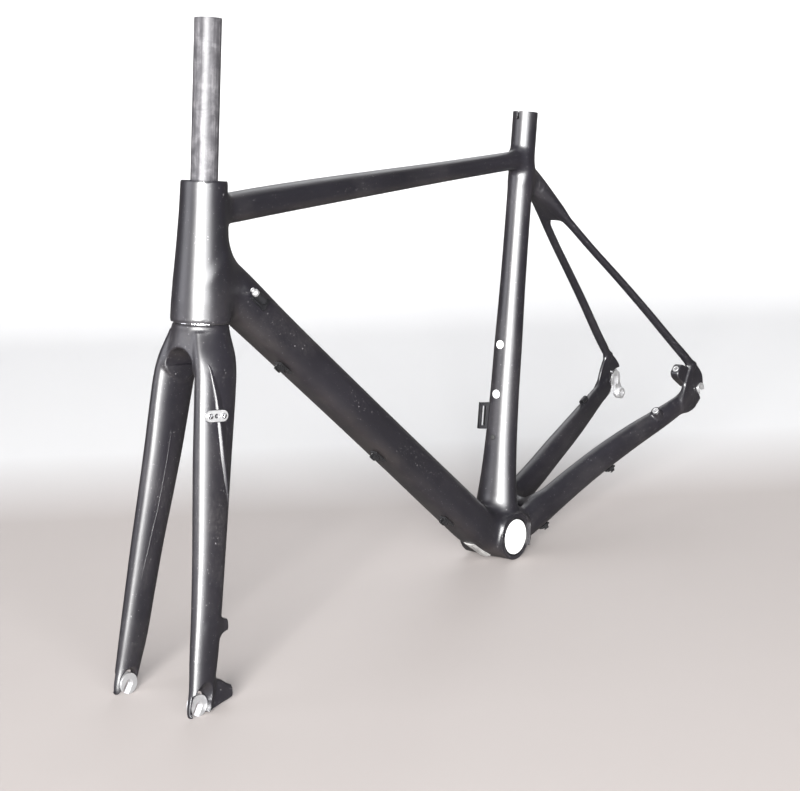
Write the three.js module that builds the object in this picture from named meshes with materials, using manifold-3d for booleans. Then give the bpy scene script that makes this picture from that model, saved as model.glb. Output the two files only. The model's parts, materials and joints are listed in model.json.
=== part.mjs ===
// Carbon disc-brake bicycle frameset: frame, fork, headset bearings and small fittings.
// Millimetres, +X forward, +Y rider's left, +Z up. Coordinates are taken from the centre of the
// bottom bracket; the finished group has its origin on the floor under its middle.
// The frameset stands without wheels on both fork tips and the bottom bracket shell, so the
// riding geometry is pitched nose-down by STAND_PITCH about Y.
import * as THREE from 'three';
import { mergeVertices } from 'three/addons/utils/BufferGeometryUtils.js';
import Module from 'manifold-3d';

const wasm = await Module();
wasm.setup();

// ---------------------------------------------------------------- driving dimensions
const STAND_PITCH = 7.93;          // degrees, riding attitude -> standing attitude
const HEAD_ANGLE = 74.91;          // degrees from horizontal when riding
const SEAT_ANGLE = 72.27;          // degrees from horizontal when riding
const FLOOR_CENTRE = [89.289, -30.032]; // x, z of the group origin

const REAR_AXLE = [-404.3, 120.8]; // x, z
const REAR_HUB_WIDTH = 135;
const FRONT_HUB_WIDTH = 100;
const REAR_HALF_WIDTH = 76;        // mid-plane to the outermost face of either rear end
const REAR_SLOT_WIDTH = 10.4;
const FRONT_SLOT_WIDTH = 9.4;
const SLOT_LENGTH = 40;            // axle slot cutter, past the open end

const CROWN = [501.8, 363.8];      // x, z of the crown race seat on the steering axis
const FORK_RAKE = 44.3;
const FORK_DROP = 390.7;           // crown race to axle along the steering axis
const STEERER_LENGTH = 313.6;      // above the crown
const STEERER_R = 14.3;            // 1-1/8 in
const STEERER_BORE_R = 11.8;
const STEERER_BASE_R = 19.7;       // 1-1/2 in taper
const HEAD_LENGTH = 146.2;
const HEAD_GAP = 1.9;              // crown to head tube

const SEAT_TUBE_LENGTH = 544.9;    // bottom bracket centre to top
const SEATPOST_R = 13.65;          // 27.2 mm seatpost plus clearance
const SEAT_TOP_R = 15.9;           // 31.8 mm clamp diameter

const BB_R = 30;                   // bottom bracket shell
const BB_HALF = 34.5;
const BB_SLEEVE_R = 25.4;
const BB_SLEEVE_HALF = 34.2;
const BB_BORE_R = 23;              // 46 mm press-fit bore
const BB_EDGE = 0.8;               // chamfer
const FLOOR_Z = -BB_R;

const DOWN_WALL = 1.8;
const TOP_WALL = 1.6;
const STAY_WALL = 2;
const GAP = 0.3;                   // bond line between moulded pieces
const FACET_TOLERANCE = 0.03;      // facets flatter than this are merged

// ---------------------------------------------------------------- points and directions
const vec = (x, y, z) => new THREE.Vector3(x, y, z);
const rad = THREE.MathUtils.degToRad;
const along = (point, direction, distance) => point.clone().addScaledVector(direction, distance);
const turnY = (angle) => new THREE.Matrix4().makeRotationY(angle);
const basis = (xAxis, yAxis, zAxis) => new THREE.Matrix4().makeBasis(xAxis, yAxis, zAxis);

const CENTRE = vec(0, 0, 0);
const FORWARD = vec(1, 0, 0);
const LEFT = vec(0, 1, 0);
const UP = vec(0, 0, 1);
const DOWN = vec(0, 0, -1);

// ---------------------------------------------------------------- solids
function toSolid(geometry) {
  for (const key of Object.keys(geometry.attributes)) {
    if (key !== 'position') geometry.deleteAttribute(key);
  }
  const merged = mergeVertices(geometry, 1e-4);
  return new wasm.Manifold(new wasm.Mesh({
    numProp: 3,
    vertProperties: new Float32Array(merged.attributes.position.array),
    triVerts: new Uint32Array(merged.index.array),
  }));
}

function toGeometry(solid) {
  const mesh = solid.simplify(FACET_TOLERANCE).getMesh();
  const geometry = new THREE.BufferGeometry();
  const positions = new Float32Array(mesh.vertProperties);
  geometry.setAttribute('position', new THREE.BufferAttribute(positions, 3));
  geometry.setIndex(new THREE.BufferAttribute(new Uint32Array(mesh.triVerts), 1));
  geometry.computeVertexNormals();
  return geometry;
}

// Rings of points, each counter-clockwise about the run, skinned into a closed solid.
function skin(rings) {
  const count = rings[0].length;
  const lastRing = (rings.length - 1) * count;
  const startCentre = rings.length * count;
  const endCentre = startCentre + 1;
  const faces = [];
  for (let i = 0; i < count; i++) {
    const next = (i + 1) % count;
    for (let base = 0; base < lastRing; base += count) {
      const near = base + i;
      const nearNext = base + next;
      faces.push(near, nearNext, nearNext + count, near, nearNext + count, near + count);
    }
    faces.push(startCentre, next, i);
    faces.push(endCentre, lastRing + i, lastRing + next);
  }
  const middle = (ring) => ring.reduce((sum, point) => sum.add(point), vec(0, 0, 0))
    .divideScalar(count);
  const points = [...rings.flat(), middle(rings[0]), middle(rings.at(-1))];
  const geometry = new THREE.BufferGeometry().setFromPoints(points);
  geometry.setIndex(faces);
  return toSolid(geometry);
}

// Superellipse tube through stations {centre, halfWidth, halfHeight, squareness, run}.
// Width is sideways and level, height is square to the run. Without a run direction the
// neighbouring centres give it. A positive grow fattens the section, a negative one thins it.
function tube(stations, segments, grow = 0) {
  const rings = stations.map(({ centre, halfWidth, halfHeight, squareness, run }, i) => {
    const before = stations[Math.max(i - 1, 0)].centre;
    const after = stations[Math.min(i + 1, stations.length - 1)].centre;
    const tangent = run ?? after.clone().sub(before).normalize();
    const heightAxis = tangent.clone().cross(LEFT).normalize();
    const widthAxis = heightAxis.clone().cross(tangent).normalize();
    return Array.from({ length: segments }, (_, k) => {
      const angle = (2 * Math.PI * (k + 0.5)) / segments;
      const cos = Math.cos(angle);
      const sin = Math.sin(angle);
      const reach = (Math.abs(cos) ** squareness + Math.abs(sin) ** squareness)
        ** (-1 / squareness);
      return centre.clone()
        .addScaledVector(widthAxis, (halfWidth + grow) * cos * reach)
        .addScaledVector(heightAxis, (halfHeight + grow) * sin * reach);
    });
  });
  return skin(rings);
}
// Stations from rows of [x, y, z, half width, half height, squareness].
const toStations = (rows, run) => rows.map(
  ([x, y, z, halfWidth, halfHeight, squareness]) => (
    { centre: vec(x, y, z), halfWidth, halfHeight, squareness, run }));

// Turned piece: profile of [radius, height], counter-clockwise, about an axis through a point.
function turned(profile, from, axis, segments) {
  const points = profile.map(([radius, height]) => new THREE.Vector2(radius, height));
  if (profile[0][0] > 0) points.push(points[0].clone());
  const geometry = new THREE.LatheGeometry(points, segments);
  const turn = new THREE.Quaternion().setFromUnitVectors(LEFT, axis.clone().normalize());
  geometry.applyMatrix4(new THREE.Matrix4().compose(from, turn, vec(1, 1, 1)));
  return toSolid(geometry);
}
function rod(radius, from, to, segments) {
  const length = from.distanceTo(to);
  const profile = [[0, 0], [radius, 0], [radius, length], [0, length]];
  return turned(profile, from, to.clone().sub(from), segments);
}
// Rod between two distances from a point along a direction.
const rodAlong = (radius, point, direction, start, end, segments) => rod(
  radius, along(point, direction, start), along(point, direction, end), segments);
const rodAcross = (radius, [x, z], y0, y1, segments) => rod(
  radius, vec(x, y0, z), vec(x, y1, z), segments);

// Plate with an outline of [x, z] points, between two y values.
function plate(outline, y0, y1) {
  const shape = new THREE.Shape(outline.map(([x, z]) => new THREE.Vector2(x, z)));
  const geometry = new THREE.ExtrudeGeometry(shape, { depth: y1 - y0, bevelEnabled: false });
  geometry.rotateX(Math.PI / 2);
  geometry.translate(0, y1, 0);
  return toSolid(geometry);
}
const discPlate = ([x, z], radius, y0, y1) => plate(Array.from({ length: 24 }, (_, k) => {
  const angle = (2 * Math.PI * (k + 0.5)) / 24;
  return [x + radius * Math.cos(angle), z + radius * Math.sin(angle)];
}), y0, y1);
// Axle slot cutter: round end on the axle at [x, z], running out at the angle.
function axleSlot([x, z], width, angle, y0, y1) {
  const half = width / 2;
  const dx = Math.cos(angle);
  const dz = Math.sin(angle);
  const outline = Array.from({ length: 9 }, (_, k) => {
    const turn = angle + Math.PI / 2 + (Math.PI * k) / 8;
    return [x + half * Math.cos(turn), z + half * Math.sin(turn)];
  });
  outline.push([x + dz * half + dx * SLOT_LENGTH, z - dx * half + dz * SLOT_LENGTH]);
  outline.push([x - dz * half + dx * SLOT_LENGTH, z + dx * half + dz * SLOT_LENGTH]);
  return plate(outline, y0, y1);
}

function box(size, centre, rotation = new THREE.Matrix4()) {
  const geometry = new THREE.BoxGeometry(...size);
  geometry.applyMatrix4(rotation.clone().setPosition(centre));
  return toSolid(geometry);
}

function mirrorY(solid) {
  const geometry = toGeometry(solid);
  geometry.scale(1, -1, 1);
  const index = geometry.index.array;
  for (let i = 0; i < index.length; i += 3) {
    [index[i], index[i + 1]] = [index[i + 1], index[i]];
  }
  return toSolid(geometry);
}

// Counter-clockwise outline moved outwards by a distance.
function offset(outline, distance) {
  const normal = ([x0, z0], [x1, z1]) => {
    const length = Math.hypot(x1 - x0, z1 - z0);
    return [(z1 - z0) / length, (x0 - x1) / length];
  };
  return outline.map((point, i) => {
    const before = normal(outline.at(i - 1), point);
    const after = normal(point, outline[(i + 1) % outline.length]);
    const scale = distance / (1 + before[0] * after[0] + before[1] * after[1]);
    return point.map((value, axis) => value + (before[axis] + after[axis]) * scale);
  });
}

// ---------------------------------------------------------------- materials
const finish = (settings) => () => new THREE.MeshStandardMaterial(settings);
const carbon = finish({ color: 0x17171a, roughness: 0.38, metalness: 0.1 });
const rawCarbon = finish({ color: 0x5c5c60, roughness: 0.5, metalness: 0.15 });
const alloy = finish({ color: 0xd8d9dc, roughness: 0.28, metalness: 0.9 });
const blackAlloy = finish({ color: 0x1c1c1f, roughness: 0.35, metalness: 0.7 });
const steel = finish({ color: 0xc8c9cc, roughness: 0.22, metalness: 1.0 });
const whitePlastic = finish({ color: 0xf3f3f1, roughness: 0.45, metalness: 0 });
const blackPlastic = finish({ color: 0x101012, roughness: 0.55, metalness: 0 });
const rubber = finish({ color: 0x161616, roughness: 0.85, metalness: 0 });

// ---------------------------------------------------------------- groups and axes
const steerTilt = rad(90 - (HEAD_ANGLE + STAND_PITCH)); // steering axis back from vertical
const steerUp = vec(-Math.sin(steerTilt), 0, Math.cos(steerTilt));
const crown = vec(CROWN[0], 0, CROWN[1]);

const root = new THREE.Group();
root.position.set(-FLOOR_CENTRE[0], 0, -FLOOR_CENTRE[1]);
const steering = new THREE.Group(); // local z runs up the steering axis, local x forward
steering.position.copy(crown);
steering.rotation.set(0, -steerTilt, 0);
root.add(steering);

function addMesh(group, name, solid, material) {
  const mesh = new THREE.Mesh(toGeometry(solid), material);
  mesh.name = name;
  group.add(mesh);
}

// Frame direction or point as [x, z] in the steering group.
const steerDirection = (x, z) => [x * steerUp.z - z * steerUp.x, x * steerUp.x + z * steerUp.z];
const steerPoint = ([x, z]) => steerDirection(x - crown.x, z - crown.z);

const seatAngle = rad(SEAT_ANGLE + STAND_PITCH);
const seatUp = vec(-Math.cos(seatAngle), 0, Math.sin(seatAngle));
const seatFront = vec(Math.sin(seatAngle), 0, Math.cos(seatAngle));
const seatTurn = turnY(seatAngle - Math.PI / 2);   // z to seatUp, x to seatFront
const onSeat = (distance, front = 0) => along(along(CENTRE, seatUp, distance), seatFront, front);

const downAlong = vec(0.7466, 0, 0.6653);          // up the down tube
const downNormal = vec(-0.6653, 0, 0.7466);        // out of its upper face
const DOWN_REFERENCE = { x: 99.2, z: 71.3, distance: 121.5 };
function onDown(distance, height, y = 0) {
  const reference = vec(DOWN_REFERENCE.x, y, DOWN_REFERENCE.z);
  const foot = along(reference, downAlong, distance - DOWN_REFERENCE.distance);
  return along(foot, downNormal, height);
}

// ---------------------------------------------------------------- head tube
// [radius, height above the lower rim]
const headOuter = [
  [31.2, 0], [31.9, 3], [31.5, 20], [30, 44], [27.4, 80], [25.3, 116], [24.5, 144.4],
  [23.7, HEAD_LENGTH],
];
const headBore = [
  [26.25, 0], [26.25, 8.2], [23.2, 11.2], [23.2, 40], [19.4, 100], [19.4, 134.2],
  [21.2, 137.4], [21.2, HEAD_LENGTH],
];
addMesh(steering, 'head_tube',
  turned([...headOuter, ...headBore.toReversed()], vec(0, 0, HEAD_GAP), UP, 28), carbon());

const headGrown = headOuter.map(([radius, height]) => [radius + GAP, height]);
headGrown[0][1] -= GAP;
headGrown.at(-1)[1] += GAP;
const headClearance = turned([[0, -GAP], ...headGrown, [0, HEAD_LENGTH + GAP]],
  along(crown, steerUp, HEAD_GAP), steerUp, 28);

// ---------------------------------------------------------------- bottom bracket
const bbClearance = rodAcross(BB_R + GAP, [0, 0], -BB_HALF - GAP, BB_HALF + GAP, 32);
const shellBore = BB_SLEEVE_R + 0.2;
addMesh(root, 'bottom_bracket_shell', turned([
  [shellBore, 0], [BB_R - BB_EDGE, 0], [BB_R, BB_EDGE], [BB_R, 2 * BB_HALF - BB_EDGE],
  [BB_R - BB_EDGE, 2 * BB_HALF], [shellBore, 2 * BB_HALF],
], vec(0, -BB_HALF, 0), LEFT, 32), carbon());
addMesh(root, 'bottom_bracket_sleeve', turned([
  [BB_BORE_R, 0], [BB_SLEEVE_R, 0], [BB_SLEEVE_R, 2 * BB_SLEEVE_HALF],
  [BB_BORE_R, 2 * BB_SLEEVE_HALF],
], vec(0, -BB_SLEEVE_HALF, 0), LEFT, 32), blackAlloy());
// Hollow press-in cap with a slit in its outer face.
const bbCap = turned([
  [0, 31.8], [19.6, 31.8], [19.6, 26.5], [22.7, 26.5], [22.7, 34.6], [21.9, 35.5], [0, 35.5],
], CENTRE, LEFT, 28).subtract(box([2, 3, 7.5], vec(6, 35.5, 9), turnY(rad(18))));
addMesh(root, 'bottom_bracket_cap_left', bbCap, whitePlastic());
addMesh(root, 'bottom_bracket_cap_right', mirrorY(bbCap), whitePlastic());

// ---------------------------------------------------------------- main tube shapes
// Seat tube, [distance up the tube, half width, half depth]
const seatRows = [
  [16, 31, 24], [48, 27.5, 21.5], [82, 24, 19.8], [122, 21.4, 18.8], [180, 19.2, 17.9],
  [246, 18.2, 17.3], [318, 16.6, 16.3], [400, SEAT_TOP_R, SEAT_TOP_R],
];
const seatBoreRows = [
  [5, 26, 19], [48, 25.7, 19.7], [82, 22, 17.8], [122, 19.4, 16.8], [180, 17.2, 15.9],
  [246, 16.2, 15.3], [300, SEATPOST_R, SEATPOST_R],
  [SEAT_TUBE_LENGTH + 5, SEATPOST_R, SEATPOST_R],
];
const seatStations = (rows) => rows.map(([distance, halfWidth, halfHeight]) => (
  { centre: onSeat(distance), halfWidth, halfHeight, squareness: 2, run: seatUp }));
const seatSolid = (top, grow) => tube(
  seatStations([...seatRows, [top, SEAT_TOP_R, SEAT_TOP_R]]), 24, grow);
const seatClearance = seatSolid(SEAT_TUBE_LENGTH + 5, GAP);

// [x, y, z, half width, half height, squareness]
const downStations = toStations([
  [-2, 0, -10.5, 30, 18.5, 2.4], [14, 0, -1, 29.5, 22.4, 2.6], [38, 0, 17.2, 28, 23.8, 2.8],
  [95, 0, 67.6, 25.5, 24.2, 3], [180, 0, 143.4, 24.4, 23.6, 3], [300, 0, 250.4, 24, 23.2, 3],
  [400, 0, 339.6, 24.2, 23.6, 3], [452, 0, 387, 24.8, 25, 2.8], [492, 0, 424, 24, 25, 2.4],
]);
const topStations = toStations([
  [486, 0, 479, 17, 15.8, 2.4], [452, 0, 478.4, 17.5, 15.8, 2.5],
  [400, 0, 479.2, 17.8, 15.6, 2.6], [320, 0, 479.6, 17.4, 15.0, 2.6],
  [200, 0, 479.3, 16, 13.5, 2.6], [80, 0, 478.8, 14.3, 12, 2.5],
  [-30, 0, 478.4, 13.6, 11.5, 2.4], [-84, 0, 478.2, 13.6, 11.5, 2.2],
]);
const downClearance = tube(downStations, 24, GAP);

addMesh(root, 'top_tube', tube(topStations, 20)
  .subtract(headClearance).subtract(seatClearance)
  .subtract(tube(topStations, 16, -TOP_WALL)), carbon());

// ---------------------------------------------------------------- stay shapes
// Left side, [x, y, z, half width, half height, squareness]
const chainStations = toStations([
  [-14, 23.5, 2, 10.5, 20.5, 2.2], [-60, 25.6, 16, 11.3, 21.5, 2.4],
  [-100, 28.6, 29, 11.3, 20.6, 2.5], [-140, 32.2, 42, 11, 19.8, 2.5],
  [-194, 39.2, 59.5, 10.8, 18.8, 2.5], [-266, 50.4, 80, 10.2, 17.2, 2.4],
  [-320, 60.8, 94.5, 8.8, 15.4, 2.3], [-356, 67, 105, 7, 14.2, 2.3],
  [-386, 70.3, 113, 4, 13, 2.3],
]);
const stayStations = toStations([
  [-133, 15.4, 415, 5.2, 4.6, 2.3], [-162, 20.4, 384.5, 5.6, 4.6, 2.3],
  [-194.4, 28, 351.3, 5.8, 4.2, 2.3], [-246.6, 39.8, 300.6, 6.1, 4.3, 2.3],
  [-297.2, 51, 250, 6.4, 4.5, 2.3], [-345.2, 61.8, 200, 6.5, 4.9, 2.3],
  [-372.2, 67.4, 173, 5.6, 6, 2.3], [-388.6, 70.4, 156, 3.6, 7, 2.3],
]);
// Wishbone behind the seat tube, [x, z, half width, half height, squareness, run x, run z]
const neckStations = [
  [-80, 462, 9.5, 17, 2.3, -0.8, -0.6], [-103, 446.5, 11, 15.6, 2.3, -0.76, -0.65],
  [-127, 425, 16, 11.8, 2.4, -0.72, -0.69], [-147, 404, 21.5, 8.6, 2.7, -0.7, -0.714],
  [-158, 392.2, 24.4, 7, 3, -0.69, -0.724],
].map(([x, z, halfWidth, halfHeight, squareness, runX, runZ]) => (
  { centre: vec(x, 0, z), halfWidth, halfHeight, squareness, run: vec(runX, 0, runZ) }));
const chainSolid = tube(chainStations, 18);
const chainHollow = tube(chainStations.slice(0, 7), 10, -STAY_WALL);
const staySolid = tube(stayStations, 14);
const neckClearance = tube(neckStations, 20, GAP);

// Round notch between the two legs of the wishbone.
const archCentre = along(vec(-158, 0, 391.5), vec(-0.69, 0, -0.724), 4);
const archCut = rodAlong(11.5, archCentre, vec(-0.724, 0, 0.69), 30, -30, 20);
addMesh(root, 'seatstay_wishbone',
  tube(neckStations, 20).subtract(seatClearance).subtract(archCut), carbon());

// ---------------------------------------------------------------- rear end shapes
// Left carries the brake posts, right carries the derailleur hanger. Outlines are [x, z].
const rearFaceY = REAR_HUB_WIDTH / 2;
const rearLeftOutline = [
  [-379, 157.5], [-392, 161.5], [-403.5, 151], [-409.4, 141], [-411, 128], [-410.8, 116.5],
  [-406.6, 107.3], [-399, 99.8], [-388, 93.6], [-372, 91.5], [-356, 96], [-352, 112],
  [-361, 128], [-369.5, 142],
];
const rearRightOutline = [
  [-378, 157.5], [-391.5, 162], [-404, 151.8], [-413.6, 141.2], [-416, 135.2],
  [-404.5, 134.8], [-393.4, 129.5], [-389.2, 116.5], [-383.3, 105.8], [-370, 97.6],
  [-356, 96], [-352, 112], [-360, 128], [-367.5, 144],
];
const upperPostArm = [
  [-384, 150], [-366, 162], [-357.8, 163.5], [-346.6, 153.6], [-350.2, 144.6],
  [-365, 134.2], [-377, 126],
];
const rearPostOut = vec(0.656, 0, 0.755);
const rearPostUpper = vec(-352.1, 65, 158.5);
const rearPostLower = vec(-296.5, 65, 109.4);
const rearPostHole = (post) => rodAlong(5, post, rearPostOut, -12, 6, 20);
const leftSlotAngle = rad(-90 - STAND_PITCH - 18);
const rightSlotAngle = rad(-90 - STAND_PITCH + 12);

// ---------------------------------------------------------------- stays
const leftEndClearance = plate(offset(rearLeftOutline, GAP), rearFaceY - 12, 80);
const rightEndClearance = plate(offset(rearRightOutline, GAP), -80, 12 - rearFaceY);

addMesh(root, 'seatstay_left',
  staySolid.subtract(neckClearance).subtract(leftEndClearance), carbon());
addMesh(root, 'seatstay_right',
  mirrorY(staySolid).subtract(neckClearance).subtract(rightEndClearance), carbon());

const trimChainstay = (solid, endClearance) => solid.subtract(bbClearance)
  .subtract(seatClearance).subtract(downClearance).subtract(endClearance);
const lowerPostPad = rodAlong(6.6, rearPostLower, rearPostOut, -14, -0.3, 20);
addMesh(root, 'chainstay_left', trimChainstay(chainSolid, leftEndClearance)
  .add(lowerPostPad).subtract(chainHollow).subtract(rearPostHole(rearPostLower)), carbon());
addMesh(root, 'chainstay_right', trimChainstay(mirrorY(chainSolid), rightEndClearance)
  .subtract(mirrorY(chainHollow)), carbon());

// ---------------------------------------------------------------- left rear end
addMesh(root, 'rear_end_left', plate(rearLeftOutline, rearFaceY, 75.2)
  .add(plate(upperPostArm, 58.4, 71.6))
  .subtract(rodAcross(10.3, REAR_AXLE, 60, 80, 36))
  .subtract(axleSlot(REAR_AXLE, REAR_SLOT_WIDTH + 2, leftSlotAngle, 60, 80))
  .subtract(rearPostHole(rearPostUpper)), carbon());
addMesh(root, 'axle_seat_left', discPlate(REAR_AXLE, 10, rearFaceY - 0.3, REAR_HALF_WIDTH)
  .subtract(axleSlot(REAR_AXLE, REAR_SLOT_WIDTH, leftSlotAngle, 60, 80)), alloy());

// ---------------------------------------------------------------- right rear end and hanger
const hangerOutline = [
  [-383.2, 118], [-386, 125.5], [-391, 133], [-396, 137.8], [-405, 137.4], [-414.5, 131.5],
  [-418.5, 122], [-422.5, 108], [-430, 97], [-427, 88.5], [-418, 86.4], [-411.5, 90],
  [-405.5, 99], [-398, 106.5], [-390, 110.5],
];
const hangerBoss = [-419.6, 94.6];                        // x, z
const hangerScrews = [[-393.2, 132.2], [-387.2, 120.6]];  // x, z
const hangerOuterY = -75.6;

let hanger = plate(hangerOutline, hangerOuterY, -71.7)
  .add(discPlate(REAR_AXLE, 11.2, hangerOuterY, -rearFaceY - 0.1))
  .add(rodAcross(8.2, hangerBoss, -REAR_HALF_WIDTH, -67.5, 24))
  .subtract(rodAcross(4.4, hangerBoss, -80, -60, 18))
  .subtract(axleSlot(REAR_AXLE, REAR_SLOT_WIDTH, rightSlotAngle, -80, -60));
let rearEndRight = plate(rearRightOutline, -71.4, -rearFaceY)
  .subtract(rodAcross(11.6, REAR_AXLE, -80, -60, 36));
// Screw heads sit on the inner face, threads run into the hanger.
const hangerScrewProfile = [
  [0, 0], [1.6, 0], [1.6, 5.2], [3.7, 5.2], [3.7, 7.4], [3.1, 7.9], [0, 7.9],
];
hangerScrews.forEach((place, i) => {
  const [x, z] = place;
  hanger = hanger.subtract(rodAcross(1.9, place, -80, -60, 12));
  rearEndRight = rearEndRight.subtract(rodAcross(2.2, place, -80, -60, 12))
    .subtract(rodAcross(4.1, place, -69.6, -60, 16));
  const screw = turned(hangerScrewProfile, vec(x, -74.6, z), LEFT, 14)
    .subtract(rodAcross(1.5, place, -68.2, -60, 6));
  addMesh(root, `hanger_screw_${i + 1}`, screw, steel());
});
addMesh(root, 'derailleur_hanger', hanger, alloy());
addMesh(root, 'rear_end_right', rearEndRight, carbon());

// ---------------------------------------------------------------- brake post inserts
// Blind insert, standing 0.4 proud of the post face.
function postInsert(post, outward) {
  const profile = [[0, 0], [4.6, 0], [4.6, 9.5], [4.1, 10], [0, 10]];
  return turned(profile, along(post, outward, -9.6), outward, 18)
    .subtract(rodAlong(2.6, post, outward, -8.6, 2, 12));
}
addMesh(root, 'rear_post_insert_upper', postInsert(rearPostUpper, rearPostOut), alloy());
addMesh(root, 'rear_post_insert_lower', postInsert(rearPostLower, rearPostOut), alloy());

// ---------------------------------------------------------------- bottle bosses and tubes
const clampSlot = box([9, 2.6, 9], onSeat(SEAT_TUBE_LENGTH - 3.5, 16), seatTurn)
  .add(rodAlong(2, onSeat(SEAT_TUBE_LENGTH - 8.5), seatFront, 10, 22, 12));
let seatTube = seatSolid(SEAT_TUBE_LENGTH, 0)
  .subtract(tube(seatStations(seatBoreRows), 20)).subtract(clampSlot)
  .subtract(bbClearance).subtract(downClearance);
let downTube = tube(downStations, 24).subtract(headClearance).subtract(bbClearance)
  .subtract(tube(downStations, 20, -DOWN_WALL));

const BOSS_DEPTH = 8.8;
const bossProfile = [[0, 0], [4.2, 0], [4.2, BOSS_DEPTH], [0, BOSS_DEPTH]];
const bossCapProfile = [
  [0, -5], [2.2, -5], [2.2, 0.3], [5.6, 0.3], [5.6, 1.1], [4.9, 1.9], [0, 2.1],
];
// Adds a boss and its cap, and returns the tube with the hole for them.
function fitBoss(tubeSolid, prefix, number, at, outward) {
  const body = turned(bossProfile, along(at, outward, -BOSS_DEPTH), outward, 14)
    .subtract(rodAlong(2.5, at, outward, -20, 5, 10));
  addMesh(root, `${prefix}_bottle_boss_${number}`, body, alloy());
  addMesh(root, `${prefix}_boss_cap_${number}`,
    turned(bossCapProfile, at, outward, 16), whitePlastic());
  return tubeSolid.subtract(rodAlong(4.5, at, outward, -9, 6, 14));
}
[[182.7, 18.0], [246.7, 17.5]].forEach(([distance, front], i) => {
  seatTube = fitBoss(seatTube, 'seat', i + 1, onSeat(distance, front), seatFront);
});
[236, 300].forEach((distance, i) => {
  downTube = fitBoss(downTube, 'down', i + 1, onDown(distance, 23.6), downNormal);
});

// Round plug in the front of the seat tube, below the bosses.
const plugAt = onSeat(126.5, 18.9);
seatTube = seatTube.subtract(rodAlong(2.6, plugAt, seatFront, -6, 4, 12));
addMesh(root, 'seat_tube_plug', turned(
  [[0, -4.5], [2.3, -4.5], [2.3, 0.25], [3.4, 0.25], [3.2, 1.2], [0, 1.6]],
  plugAt, seatFront, 14), rubber());
addMesh(root, 'seat_tube', seatTube, carbon());
addMesh(root, 'down_tube', downTube, carbon());

// ---------------------------------------------------------------- front derailleur mount
// The tab leaves the tube at the right front; its bolt slot runs along the tube.
const tabCentre = onSeat(153);
const tabRotation = seatTurn.clone().multiply(new THREE.Matrix4().makeRotationZ(rad(-20)));
const tabBox = (size, out, aside) => box(
  size, vec(out, aside, 0).applyMatrix4(tabRotation).add(tabCentre), tabRotation);
addMesh(root, 'front_derailleur_mount', tabBox([22, 5, 34], 20.5, -8.5)
  .add(tabBox([10, 9, 34], 13, -9))
  .subtract(tabBox([5.4, 30, 26], 25.5, -8))
  .subtract(seatSolid(SEAT_TUBE_LENGTH, GAP)), blackAlloy());

// ---------------------------------------------------------------- cable fittings
// Saddle clip with a hose channel that is open on the outward side.
function hoseClip(at, lengthwise, outward, length, width) {
  const side = outward.clone().cross(lengthwise).normalize();
  const rotation = basis(lengthwise, side, outward);
  const place = (shift, height) => along(along(at, lengthwise, shift), outward, height);
  const blockShift = length * 0.22;
  return box([length, width, 2.2], place(0, 1.4), rotation)
    .add(box([length * 0.42, width * 0.72, 6.4], place(blockShift, 5), rotation))
    .subtract(rodAlong(2.6, place(0, 5.2), lengthwise, -length, length, 12))
    .subtract(box([length, 2.6, 6], place(blockShift, 9), rotation));
}
// Under the down tube, left of the middle: [distance, depth of the tube face]
[[487, 24.0], [282, 23.8], [112, 24.2]].forEach(([distance, depth], i) => {
  const at = onDown(distance, -depth - GAP, 8);
  const clip = hoseClip(at, downAlong, downNormal.clone().negate(), 22, 9.5);
  addMesh(root, `down_tube_hose_clip_${i + 1}`, clip, blackPlastic());
});
// Under the left chainstay, squared up to the outward direction.
const chainClipOut = vec(-0.27, 0, -0.96).normalize();
const chainRun = vec(-0.96, 0.135, 0.27).normalize();
const chainClipRun = along(chainRun, chainClipOut, -chainRun.dot(chainClipOut)).normalize();
[[-72, 26.5, -3.3], [-211, 42, 44.4]].forEach((place, i) => {
  const clip = hoseClip(vec(...place), chainClipRun, chainClipOut, 17, 8);
  addMesh(root, `chainstay_hose_clip_${i + 1}`, clip, blackPlastic());
});

// Shift cable stops with their barrel adjusters, one on each side of the down tube.
const STOP_HEIGHT = 5.5;
const STOP_CABLE_Y = 30.4;
const adjusterProfile = [
  [1.1, -7.5], [2.6, -7.5], [2.6, 0.4], [3.9, 0.4], [3.9, 3.6], [2.6, 5.2], [2.4, 8.6],
  [1.1, 8.6],
];
for (const [name, side] of [['left', 1], ['right', -1]]) {
  const place = (distance, y) => onDown(distance, STOP_HEIGHT, y * side);
  const cableRod = (radius, start, end, segments) => rod(
    radius, place(start, STOP_CABLE_Y), place(end, STOP_CABLE_Y), segments);
  const rotation = basis(downAlong, LEFT, downNormal);
  const stop = box([23, 2.4, 13], place(579, 26), rotation)
    .add(cableRod(4.4, 578, 592, 16))
    .add(box([12, 4.5, 6], place(585, 28.2), rotation))
    .subtract(cableRod(2.7, 583, 600, 16))
    .subtract(cableRod(1.2, 570, 600, 10));
  addMesh(root, `cable_stop_${name}`, stop, blackAlloy());
  addMesh(root, `barrel_adjuster_${name}`,
    turned(adjusterProfile, place(592, STOP_CABLE_Y), downAlong, 16), alloy());
}

// Rear derailleur cable stop on top of the right chainstay.
const rearStopBase = vec(-300, -56.5, 106.6);
const rearStopCable = along(rearStopBase, UP, 2.8);
const rearStopRun = vec(-0.955, -0.15, 0.26).normalize();
const rearStopRod = (radius, start, end, segments) => rodAlong(
  radius, rearStopCable, rearStopRun, start, end, segments);
addMesh(root, 'chainstay_cable_stop', rearStopRod(4, -7, 7, 14)
  .add(box([14, 5, 4], along(rearStopBase, UP, 0.6), turnY(rad(15))))
  .subtract(rearStopRod(2.6, -12, 4.5, 12))
  .subtract(rearStopRod(1, -12, 12, 8))
  .subtract(mirrorY(tube(chainStations, 18, GAP))), blackAlloy());

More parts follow.
